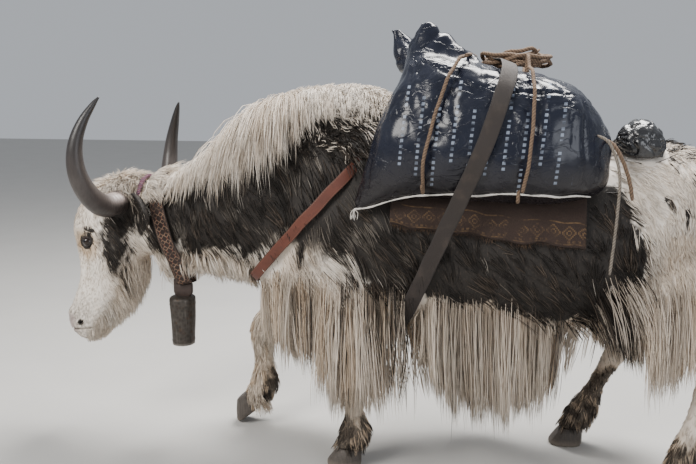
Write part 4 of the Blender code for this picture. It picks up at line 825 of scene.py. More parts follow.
def markings(points):
    """Weights of each colour, from the place alone."""
    x, y, z = points.T
    side = np.abs(y)
    ragged = 0.024 * wavy(points, 0.10, 31) + 0.012 * wavy(points, 0.03, 32)
    soft = 0.06 + 0.12 * rise(-z, -0.84, -0.76) * rise(x, -0.50, -0.34)
    part = part_of(points)
    head = part == HEAD_PART
    on_body = ~head
    dark = inside(NECK_PATCH, x + ragged, z + ragged, soft) * rise(side, 0.045, 0.085) * (z > 0.5)
    dark = np.maximum(dark, inside(FLANK_PATCH, x + ragged, z - ragged, 0.04) * (side > 0.1))
    dark = dark * on_body * ((part == TRUNK_PART) | (part == NECK_PART))
    for cx, cz, size in RUMP_SPOTS:
        reach = np.hypot(x - cx + 0.3 * ragged, z - cz - 0.3 * ragged)
        dark = np.maximum(dark, 0.75 * rise(-reach, -size, -0.4 * size) * (side > 0.03) * (part == TRUNK_PART))
    grey = 0.35 * rise(wavy(points, 0.16, 33), 0.2, 1.6)
    hump = rise(z, 1.08, 1.20) * rise(-np.abs(x + 0.16), -0.30, -0.18) * on_body
    grey = np.maximum(grey, hump * rise(wavy(points, 0.045, 34), -0.9, 1.1) * 0.45)
    dark = dark * (1 - 0.5 * rise(z, 1.10, 1.18) * on_body)
    speckle = 0.9 * rise(wavy(points, 0.022, 35), 0.9, 1.7) * rise(z, 0.95, 1.05) * (x > 0.6)
    grey = np.maximum(grey, speckle)
    warm = 0.10 + 0.40 * rise(wavy(points, 0.30, 36), -0.5, 1.2) * (z < 0.85)
    # Below 0.62 m the hair turns warmer and darker: partly its own beige, partly painted shade of the shaded lower
    # body.
    warm = np.where(z < 0.62, warm + 0.25, warm) * on_body
    for name, code in ((name, 3 + k) for k, name in enumerate(LEGS)):
        mine = part == code
        level = FOOT_DARK[name]
        low = rise(level + 0.6 * ragged - z, -0.025, 0.03)
        dark = np.where(mine, 0.62 * low, dark)
        warm = np.where(mine, 0.32 + 0.6 * low, warm)
    tail = part == TAIL_PART
    grey = np.where(tail, 0.30 + 0.25 * rise(wavy(points, 0.05, 37), -0.4, 1.2), grey)
    bare = np.zeros(len(points))
    if head.any():
        local = turned(points[head], HEAD_INVERSE)
        hx, hy, hz = local.T
        out = np.abs(hy)
        wobble = 0.010 * wavy(local, 0.05, 41) + 0.005 * wavy(local, 0.015, 42)
        cheek = inside(CHEEK_PATCH, hx + wobble, hz - wobble, 0.070) * rise(out, 0.045, 0.070)
        eye = eye_reach(local)
        brow = rise(-np.hypot((hx + 1.028) / 2.6, hz - 0.757 + 0.25 * (hx + 1.028)), -0.014, -0.006) * rise(out, 0.05, 0.08)
        rim = rise(-eye, -1.75, -1.20)
        throat = rise(-hz, -0.50, -0.42) * rise(hx, -0.985, -0.950)
        fade = 0.42 + 0.58 * rise(hz, 0.55, 0.68)
        front = 0.60 + 0.40 * rise(hx, -0.985, -0.950)
        face_dark = np.maximum(np.maximum(cheek * fade * front, 0.85 * brow), np.maximum(rim, throat * 0.6))
        nostril = rise(-np.hypot(hx + 1.098, hz - 0.412), -0.019, -0.007) * rise(out, 0.030, 0.052)
        face_dark = np.maximum(face_dark, nostril * 0.7)
        dark[head] = face_dark
        tan = rise(-np.hypot(hx + 1.055, (hz - 0.700) * 1.1), -0.085, -0.035) * rise(out, 0.05, 0.085)
        forehead = rise(hz, 0.66, 0.80) * (1 - rise(out, 0.07, 0.11))
        jowl = rise(hx, -1.02, -0.93) * rise(-hz, -0.74, -0.66)
        warm[head] = np.clip(0.10 + 0.85 * tan + 0.45 * forehead * rise(wavy(local, 0.02, 43), -0.8, 1.0) + 0.30 * jowl, 0, 1)
        beard = rise(-hz, -0.47, -0.40) * rise(hx, -1.08, -1.03)
        warm[head] = np.maximum(warm[head], 0.45 * beard)
        roan = rise(-hz, -0.56, -0.44) * rise(out, 0.02, 0.06) * rise(wavy(local, 0.018, 44), -0.9, 0.9)
        nose = rise(-hz, -0.50, -0.44) * rise(-hx, 1.05, 1.09)
        grey[head] = np.clip(0.55 * roan + 0.25 * forehead * rise(wavy(local, 0.012, 45), 0.0, 1.4) + 0.30 * nose, 0, 1)
        muzzle = rise(-hz - 0.25 * (hx + 1.18), -0.458, -0.436) * rise(-hx, 1.105, 1.135)
        bare[head] = np.maximum(muzzle * 0.9, rise(-eye, -1.06, -0.98))
    return {"dark": np.clip(dark, 0, 1), "warm": np.clip(warm, 0, 1), "grey": np.clip(grey, 0, 1), "bare": bare}


# Unwrap: each part of the skin is opened round its own length and laid in a field of the square

FIELDS = {TRUNK_PART: (0.01, 0.99, 0.46, 0.99), NECK_PART: (0.01, 0.48, 0.25, 0.44),
          HEAD_PART: (0.51, 0.99, 0.05, 0.44), 3: (0.01, 0.11, 0.01, 0.23), 4: (0.13, 0.23, 0.01, 0.23),
          5: (0.25, 0.35, 0.01, 0.23), 6: (0.37, 0.47, 0.01, 0.23), TAIL_PART: (0.485, 0.505, 0.05, 0.44),
          EAR_PART: (0.51, 0.99, 0.005, 0.04)}


def spots_on_chart(points, part):
    """Turn round the part's length, and share along it, both from 0 to 1."""
    x, y, z = points.T
    turn_share, along = np.zeros(len(points)), np.zeros(len(points))
    axes = {TRUNK_PART: lambda p: (p[:, 1], p[:, 2] - 0.80, (p[:, 0] + 0.50) / 1.60),
            NECK_PART: lambda p: (p[:, 1], p[:, 2] - np.interp(p[:, 0], [-0.9, -0.4], [0.80, 0.90]), (p[:, 0] + 0.95) / 0.62),
            TAIL_PART: lambda p: (p[:, 1], p[:, 0] - 1.10, (1.02 - p[:, 2]) / 0.66)}
    for code, measure in axes.items():
        mine = part == code
        if mine.any():
            across, up, share = measure(points[mine])
            turn_share[mine], along[mine] = np.arctan2(across, -up) / (2 * math.pi) + 0.5, share
    mine = part == HEAD_PART
    if mine.any():
        local = turned(points[mine], HEAD_INVERSE)
        middle = np.interp(local[:, 2], [0.34, 0.50, 0.70, 0.94], [-1.10, -1.055, -1.00, -0.94])
        turn_share[mine] = np.arctan2(local[:, 1], middle - local[:, 0]) / (2 * math.pi) + 0.5
        along[mine] = (local[:, 2] - 0.31) / 0.70
    for code, (side, stations) in enumerate(LEGS.values(), 3):
        mine = part == code
        if mine.any():
            order = np.array(stations)[::-1]
            leg = points[mine]
            dx = leg[:, 0] - np.interp(leg[:, 2], order[:, 2], order[:, 0])
            dy = leg[:, 1] - side * np.interp(leg[:, 2], order[:, 2], order[:, 1])
            turn_share[mine], along[mine] = np.arctan2(dy, dx) / (2 * math.pi) + 0.5, leg[:, 2] / 0.85
    mine = part == EAR_PART
    if mine.any():
        turn_share[mine], along[mine] = (y[mine] + 0.30) / 0.60, (x[mine] + 0.95) / 0.35
    return turn_share, np.clip(along, 0, 1)


def in_field(turn_share, along, part):
    chosen = np.array([FIELDS[code] for code in range(9)])[part]
    u = chosen[:, 0] + (chosen[:, 1] - chosen[:, 0]) * turn_share
    v = chosen[:, 2] + (chosen[:, 3] - chosen[:, 2]) * along
    return np.stack([u, v], 1)


def unwrap(piece, part):
    """Faces that cross the seam of their chart are kept whole."""
    mesh = piece.data
    count = len(mesh.loops)
    vertex_of = np.empty(count, np.int32)
    mesh.loops.foreach_get("vertex_index", vertex_of)
    totals = np.empty(len(mesh.polygons), np.int32)
    mesh.polygons.foreach_get("loop_total", totals)
    face_of = np.repeat(np.arange(len(totals)), totals)
    firsts = np.concatenate([[0], np.cumsum(totals)[:-1]])
    loop_part = part[vertex_of[firsts]][face_of]
    turn_share, along = spots_on_chart(points_of(piece)[vertex_of], loop_part)
    anchor = turn_share[firsts][face_of]
    turn_share = turn_share - np.round(turn_share - anchor)
    layer = mesh.uv_layers.get("OFBake") or mesh.uv_layers.new(name="OFBake")
    layer.data.foreach_set("uv", in_field(np.clip(turn_share, 0, 1), along, loop_part).astype(np.float32).ravel())


def mark_piece(piece, marks):
    for key, values in marks.items():
        slot = piece.data.attributes.new(key, "FLOAT", "POINT")
        slot.data.foreach_set("value", values.astype(np.float32))


def hair_colour(finish, seed_place, streak):
    """Cream, tan, grey and near-black hair in the shares that the markings give."""
    dark, warm, grey = (finish.attribute(name) for name in ("dark", "warm", "grey"))
    mottle = finish.noise(seed_place, 38.0, 4.0, 0.6)
    cream = finish.blend(mottle, (0.70, 0.61, 0.51), (0.93, 0.89, 0.83))
    cream = finish.blend(warm * (0.45 + 0.75 * mottle), cream, (0.46, 0.32, 0.19))
    ashen = finish.blend(streak, (0.17, 0.145, 0.125), (0.48, 0.43, 0.37))
    cream = finish.blend((grey * (0.55 + streak)).clamped(), cream, ashen)
    black = finish.blend(streak.between(0.50, 0.95), (0.014, 0.011, 0.009), (0.100, 0.076, 0.058))
    return finish.blend((dark + (streak - 0.5) * 0.35 * dark.between(0.02, 0.5)).between(0.25, 0.72), cream, black)


def skin_finish():
    finish = Finish("skin", Roughness=0.62, Specular_IOR_Level=0.35)
    place = finish.place()
    streak = finish.noise(finish.stretched(place, (260.0, 260.0, 90.0)), 1.0, 3.0, 0.6)
    hair = hair_colour(finish, place, streak)
    pores = finish.noise(place, 520.0, 3.0, 0.6)
    blotch = finish.noise(place, 55.0, 3.0)
    hide = finish.blend(blotch, (0.20, 0.160, 0.150), (0.44, 0.365, 0.335))
    hide = finish.blend(finish.attribute("dark").between(0.3, 0.9), hide, (0.030, 0.022, 0.020))
    bare = finish.attribute("bare")
    finish.colour(finish.blend(bare, hair, hide))
    finish.feed("Roughness", 0.66 - bare * 0.26 + pores * 0.10)
    wrinkle = finish.cells(place, 260.0, 1.0)
    finish.bump(streak * (1 - bare) + (pores * 0.6 + wrinkle) * bare, 0.0012, 0.6)
    return finish


def add_skin():
    skin = build_skin()
    ears = mesh_piece("ears", *joined([ear_form(side) for side in (NEAR, FAR)]))
    skin.data.shade_smooth()
    body_points = len(skin.data.vertices)
    form = bmesh.new()
    form.from_mesh(skin.data)
    form.from_mesh(ears.data)
    form.to_mesh(skin.data)
    form.free()
    bpy.data.objects.remove(ears)
    skin.data.shade_smooth()
    points = points_of(skin)
    part = part_of(points)
    part[body_points:] = EAR_PART
    marks = markings(points)
    shade_ears(points, part, marks)
    mark_piece(skin, marks)
    unwrap(skin, part)
    dress(skin, skin_finish())
    own(skin, "head", "neck", "torso", "tail", "foreleg_near", "foreleg_far", "hindleg_near", "hindleg_far",
        "ear_near", "ear_far")
    return skin, part


def shade_ears(points, part, marks):
    """The ears are dark on the near side and pale on the far one."""
    mine = part == EAR_PART
    near = mine & (points[:, 1] < 0)
    marks["dark"][mine] = 0.15
    marks["dark"][near] = 0.75
    marks["bare"][mine] = 0.0
    marks["grey"][mine] = 0.3


SKIN, SKIN_PART = add_skin()
SKIN_TREE = tree_of(SKIN)


# Coat: thin three-sided tufts, each grown from its root on the skin along the lie of the hair

GEAR = ("sack_near", "sack_far", "saddle_blanket", "girth", "breast_strap", "collar", "poll_cord", "bell", "bag",
        "sack_rope_front", "sack_rope_rear", "rope_coil")
SOLID = ("horn_near", "horn_far", "eye_near", "eye_far", "hoof_fore_near", "hoof_fore_far", "hoof_hind_near",
         "hoof_hind_far")


def tree_of_nodes(names):
    points, polygons = [], []
    for name in names:
        mesh = NODES[name].data
        start = len(points)
        points += [NODES[name].matrix_world @ vertex.co for vertex in mesh.vertices]
        polygons += [[start + k for k in polygon.vertices] for polygon in mesh.polygons]
    return BVHTree.FromPolygons(points, polygons)


STRAPS = ("girth", "breast_strap", "collar", "poll_cord")
GEAR_TREE = tree_of_nodes(GEAR + SOLID)
HARD_TREE = tree_of_nodes(tuple(name for name in GEAR if name not in STRAPS) + SOLID)


def tree_with_straps():
    """The skin together with the outer faces of the straps, so that hair can lie over them."""
    points = [vertex.co for vertex in SKIN.data.vertices]
    polygons = [polygon.vertices[:] for polygon in SKIN.data.polygons]
    for name in ("breast_strap", "collar", "girth"):
        mesh = NODES[name].data
        middle = sum((vertex.co for vertex in mesh.vertices), Vector()) / len(mesh.vertices)
        start = len(points)
        points += [vertex.co for vertex in mesh.vertices]
        polygons += [[start + k for k in face.vertices] for face in mesh.polygons
                     if face.normal.dot((face.center - middle).normalized()) > 0.35]
    return BVHTree.FromPolygons(points, polygons)


LAID_TREE = tree_with_straps()


class Ground:
    """The skin's triangles, as places for roots."""

    def __init__(self, piece, part):
        mesh = piece.data
        mesh.calc_loop_triangles()
        corners = np.empty(len(mesh.loop_triangles) * 3, np.int32)
        mesh.loop_triangles.foreach_get("vertices", corners)
        self.corners = corners.reshape(-1, 3)
        self.points = points_of(piece)
        self.normals = normals_of(piece)
        self.part = part[self.corners[:, 0]]
        a, b, c = (self.points[self.corners[:, k]] for k in range(3))
        self.area = np.linalg.norm(np.cross(b - a, c - a), axis=1) / 2
        self.centres = (a + b + c) / 3
        self.facing = unit(self.normals[self.corners].sum(1))
        self.open = np.array([GEAR_TREE.ray_cast(Vector(spot), Vector(way), 0.030)[0] is None
                              for spot, way in zip(self.centres, self.facing)])

    def sow(self, count, weight, rng):
        """Roots with their normals and parts, by the weight of each triangle."""
        chance = self.area * np.maximum(weight, 0)
        picked = rng.choice(len(chance), count, p=chance / chance.sum())
        r1, r2 = np.sqrt(rng.random(count)), rng.random(count)
        shares = np.stack([1 - r1, r1 * (1 - r2), r1 * r2], 1)
        corners = self.corners[picked]
        roots = (self.points[corners] * shares[..., None]).sum(1)
        return roots, unit((self.normals[corners] * shares[..., None]).sum(1)), self.part[picked]


GROUND = Ground(SKIN, SKIN_PART)


def flat_on(direction, normals):
    """The direction laid along the surface."""
    return unit(direction - normals * (direction * normals).sum(1, keepdims=True))


def lies(points, normals, part):
    """Which way the hair lies: down the face, back along the neck and trunk, down the legs."""
    x, y, z = points.T
    direction = np.tile([0.72, 0.0, -0.70], (len(points), 1))
    direction[part == NECK_PART] = (0.55, 0.0, -0.83)
    haunch = rise(x, 0.55, 0.95)[:, None] * (part == TRUNK_PART)[:, None]
    direction = direction * (1 - haunch) + np.array([0.30, 0.0, -0.95]) * haunch
    leg = (part >= 3) & (part <= 6)
    direction[leg] = (0.12, 0.0, -1.0)
    direction[part == TAIL_PART] = (0.05, 0.0, -1.0)
    head = part == HEAD_PART
    if head.any():
        local = turned(points[head], HEAD_INVERSE)
        down = np.stack([np.zeros(len(local)), local[:, 1] * 3.0, -np.ones(len(local))], 1)
        back = rise(local[:, 0], -1.06, -0.95)[:, None]
        down = down + back * np.array([0.7, 0, 0.0])
        direction[head] = down @ HEAD_MATRIX[:3, :3].T
    ear = part == EAR_PART
    direction[ear] = (0.45, 0.0, -0.85)
    direction[ear, 1] = 0.3 * np.sign(y[ear])
    swirl = 0.30 * wavy(points, 0.22, 51)[:, None] * np.cross(direction, normals)
    return flat_on(direction + swirl + 0.05 * np.stack([wavy(points, 0.05, 52), 0 * x, 0 * x], 1), normals)


def grow_paths(roots, normals, lie, length, lift, sag, wave, stand, rings, rng):
    """Paths from the roots: up off the skin, along the lie, then down under their own weight."""
    count = len(roots)
    step = (length / rings)[:, None]
    direction = unit(lie * np.cos(lift)[:, None] + normals * np.sin(lift)[:, None])
    path = [roots - normals * 0.0015]
    spot = roots
    phase = rng.uniform(0, 2 * math.pi, count)
    sideways = np.cross(lie, normals)
    for k in range(rings):
        share = (k + 1) / rings
        pull = DOWN * sag + (sideways * (np.sin(phase + 5.0 * share) * wave)[:, None])
        direction = unit(direction + pull + lie * 0.10)
        before = spot
        spot = spot + direction * step
        clear = stand * math.sin(math.pi * min(0.5, 0.6 * share))
        moved = spot.copy()
        for i in range(count):
            found, normal, _, distance = LAID_TREE.find_nearest(spot[i])
            height = (spot[i] - found) @ normal if found is not None else 1.0
            if height < clear:
                moved[i] = np.array(found) + np.array(normal) * clear
        span = np.linalg.norm(moved - before, axis=1, keepdims=True)
        spot = before + (moved - before) * np.minimum(1, 1.4 * step / np.maximum(span, 1e-6))
        spot[:, 2] = np.maximum(spot[:, 2], 0.006)
        path.append(spot)
    return np.stack(path, 1)


def gather(path, tightness, spread, rng):
    """Tufts draw in to their nearest guides towards the tips, so that they form locks."""
    count, rings = path.shape[:2]
    guides = rng.choice(count, max(1, int(count / spread)), replace=False)
    near = KDTree(len(guides))
    for k, guide in enumerate(guides):
        near.insert(path[guide, 0], k)
    near.balance()
    owner = np.array([guides[near.find(path[k, 0])[1]] for k in range(count)])
    share = (np.arange(rings) / (rings - 1))[None, :, None] ** 1.3 * tightness
    return path + (path[owner] - path) * share, owner


def clear_of_gear(path, over, least=0.30):
    """Cut each path short where it meets the gear. Those marked as over lie on top of the straps."""
    count, rings = path.shape[:2]
    reach = np.ones(count)
    keep = np.ones(count, bool)
    for i in range(count):
        root = Vector(path[i, 0])
        tree = HARD_TREE if over[i] else GEAR_TREE
        for k in range(rings - 1):
            start, end = Vector(path[i, k]), Vector(path[i, k + 1])
            span = (end - start).length
            hit = tree.ray_cast(start, (end - start).normalized(), span)
            if hit[0] is not None:
                reach[i] = (k + 0.85 * hit[3] / max(span, 1e-6)) / (rings - 1)
                break
    keep &= reach > least
    path, reach = path[keep], reach[keep]
    at = np.arange(rings)[None] * reach[:, None]
    low = np.minimum(at.astype(int), rings - 2)
    share = (at - low)[..., None]
    rows = np.arange(len(path))[:, None]
    return path[rows, low] * (1 - share) + path[rows, low + 1] * share, keep


def tuft_mesh(name, path, width, uv, marks, seed):
    """Each tuft is a three-sided blade that ends in a point."""
    rng = np.random.default_rng(seed)
    count, rings = path.shape[:2]
    tangents = unit(np.gradient(path, axis=1))
    normal = unit(rng.normal(size=(count, 1, 3)))
    across = unit(np.cross(tangents, normal))
    beside = np.cross(tangents, across)
    share = np.arange(rings - 1) / (rings - 1)
    profile = (0.62 + 0.85 * share) * (1 - share) ** 0.55 / 0.86
    size = width[:, None] * profile[None]
    corners = []
    for angle in (0.5 * math.pi, 7 / 6 * math.pi, 11 / 6 * math.pi):
        reach = across[:, :-1] * math.cos(angle) + beside[:, :-1] * math.sin(angle) * 0.55
        corners.append(path[:, :-1] + reach * size[..., None])
    body = np.stack(corners, 2).reshape(count, -1, 3)
    points = np.concatenate([body, path[:, -1:]], 1)
    each = points.shape[1]
    start = (np.arange(count) * each)[:, None, None]
    quads = np.array([[r * 3 + c, r * 3 + (c + 1) % 3, r * 3 + 3 + (c + 1) % 3, r * 3 + 3 + c]
                      for r in range(rings - 2) for c in range(3)])
    last = (rings - 2) * 3
    ends = np.array([[last + c, last + (c + 1) % 3, each - 1] for c in range(3)])
    faces = [(quads[None] + start).reshape(-1, 4), (ends[None] + start).reshape(-1, 3)]
    patch = np.zeros((each, 2))
    patch[:-1, 0] = np.tile([-0.5, 0.5, 0.0], rings - 1)
    patch[:, 1] = np.append(np.repeat(share, 3), 1.0) - 0.5
    spots = (uv[:, None] + patch[None] * 0.003).reshape(-1, 2)
    along = np.tile(np.append(np.repeat(share, 3), 1.0), count)
    spread = {key: np.repeat(values, each, axis=0) for key, values in marks.items()}
    spread["along"] = along
    piece = mesh_piece(name, points.reshape(-1, 3), faces, spots, spread)
    return own(piece)


def pelt(name, triangles, weight, length, width, lift=0.5, sag=0.05, wave=0.10, stand=0.006, rings=3, clump=0.5,
         spread=9, seed=1, bend=None, tint=None, part_only=None, over=0.15, vary=(0.65, 1.2)):
    """One field of hair. Weight, length and bend are functions of the place."""
    rng = np.random.default_rng(seed)
    allowed = np.isin(GROUND.part, part_only) if part_only else np.ones(len(GROUND.part), bool)
    chances = weight(GROUND.centres, GROUND.facing) * allowed * GROUND.open
    count = int(triangles * 1000 / (6 * (rings - 1) + 3))
    roots, normals, part = GROUND.sow(count, chances, rng)
    lie = lies(roots, normals, part)
    if bend:
        lie = flat_on(bend(roots, normals, lie), normals)
    long = length(roots) * rng.uniform(*vary, count)
    rise_angle = lift * rng.uniform(0.5, 1.4, count)
    path = grow_paths(roots, normals, lie, long, rise_angle, sag, wave, stand, rings, rng)
    path, owner = gather(path, clump, spread, rng)
    lock_tone = rng.random(count)[owner]
    path, keep = clear_of_gear(path, rng.random(count) < (over(roots) if callable(over) else over))
    marks = markings(roots[keep])
    marks["bare"] = marks["bare"] * 0
    marks["root"] = roots[keep]
    tone, own_tone = lock_tone[keep], rng.random(count)[keep]
    marks["shade"] = 0.5 * own_tone + 0.5 * tone
    mixed = marks["dark"] + 0.75 * (tone - 0.5) + 0.25 * (own_tone - 0.5)
    ashy = (marks["dark"] > 0.9) * (np.mod(tone * 7.3, 1) > 0.80) * (roots[keep][:, 2] > 0.55) * (roots[keep][:, 0] < 0.20)
    marks["dark"] = np.where(marks["dark"] > 0, rise(mixed, 0.36, 0.64) * (1 - 0.42 * ashy), 0)
    marks["grey"] = np.maximum(marks["grey"], 0.85 * ashy)
    if tint:
        tint(marks, roots[keep], tone, own_tone)
    uv = in_field(*spots_on_chart(roots[keep], part[keep]), part[keep])
    piece = tuft_mesh(name, path, np.broadcast_to(width, count)[keep] * rng.uniform(0.7, 1.3, keep.sum()), uv, marks, seed)
    dress(piece, COAT_FINISH)
    return piece


def coat_finish():
    finish = Finish("coat", Roughness=0.52, Specular_IOR_Level=0.30)
    root = finish.place("root")
    along, shade = finish.attribute("along"), finish.attribute("shade")
    streak = (finish.noise(root, 110.0, 2.0) * 0.5 + shade * 0.75 - 0.12).clamped()
    base = hair_colour(finish, root, streak)
    # Painted shade: every tuft is darkened towards its root, as the shade deep inside the coat.
    deep = finish.blend(along.between(-0.1, 0.55), (0.80, 0.77, 0.74), (1.0, 1.0, 1.0))
    tone = finish.blend(shade, (0.80, 0.79, 0.78), (1.10, 1.08, 1.05))
    base = finish.node("ShaderNodeVectorMath", {"operation": "MULTIPLY"}, {0: base, 1: deep})
    finish.colour(finish.node("ShaderNodeVectorMath", {"operation": "MULTIPLY"}, {0: base, 1: tone}))
    finish.feed("Roughness", 0.46 + shade * 0.20)
    return finish


COAT_FINISH = coat_finish()


def near_line(edge, values):
    """A height or length read along a line of stations."""
    table = np.array(edge)
    return np.interp(values, table[:, 0], table[:, 1])


MANE_EDGE = [(-0.80, 0.88), (-0.684, 0.94), (-0.60, 0.935), (-0.50, 0.925), (-0.43, 0.955), (-0.38, 1.02), (-0.33, 1.09),
             (-0.28, 1.16), (-0.17, 1.205), (0.02, 1.205)]
MANE_TOP = [(-0.80, 0.965), (-0.717, 1.022), (-0.606, 1.096), (-0.497, 1.179), (-0.391, 1.245), (-0.235, 1.275),
            (-0.033, 1.270), (0.03, 1.24)]
SKIRT_EDGE = [(0.00, 0.46), (0.12, 0.38), (0.155, 0.33), (0.178, 0.27), (0.22, 0.220), (0.30, 0.215), (0.40, 0.208),
              (0.484, 0.215), (0.56, 0.235), (0.61, 0.285), (0.65, 0.37), (0.72, 0.38)]
THIGH_EDGE = [(0.60, 0.42), (0.69, 0.364), (0.735, 0.345), (0.81, 0.318), (0.87, 0.321), (0.91, 0.356), (1.05, 0.45)]
FOREARM_EDGE = [(-0.36, 0.32), (-0.27, 0.28), (-0.20, 0.215), (-0.12, 0.175), (0.10, 0.165)]
BLACK_EDGE = [(0.10, 0.570), (0.38, 0.552), (0.47, 0.522), (0.60, 0.478), (0.70, 0.50), (0.78, 0.60)]


def in_head_frame(points):
    return turned(points, HEAD_INVERSE)


def face_weight(points, facing):
    local = in_head_frame(points)
    eye = eye_reach(local)
    bare = (local[:, 2] < 0.445) & (local[:, 0] < -1.10)
    return (eye > 1.05) * np.where(bare, 0.5, 1.0)


def face_length(roots):
    local = in_head_frame(roots)
    base = np.interp(local[:, 2], [0.34, 0.44, 0.60, 0.78, 0.90], [0.006, 0.009, 0.014, 0.020, 0.030])
    jowl = rise(local[:, 0], -1.02, -0.93)
    return base * (1 + 0.9 * jowl)


def beard_weight(points, facing):
    local = in_head_frame(points)
    jaw = np.interp(local[:, 2], [0.34, 0.40, 0.50, 0.62, 0.70], [-1.06, -1.02, -0.945, -0.885, -0.865])
    return rise(local[:, 0] - jaw, -0.050, -0.015) * rise(-local[:, 2], -0.68, -0.60) * rise(-local[:, 0], 0.86, 0.89)


def beard_length(roots):
    local = in_head_frame(roots)
    return np.interp(local[:, 2], [0.34, 0.40, 0.48, 0.56, 0.66], [0.018, 0.036, 0.080, 0.105, 0.070])


def poll_weight(points, facing):
    return rise(points[:, 2], 0.875, 0.915) * rise(-points[:, 0], 0.80, 0.86) * rise(-np.abs(points[:, 1]), -0.105, -0.060)


def trunk_weight(points, facing):
    return np.ones(len(points))


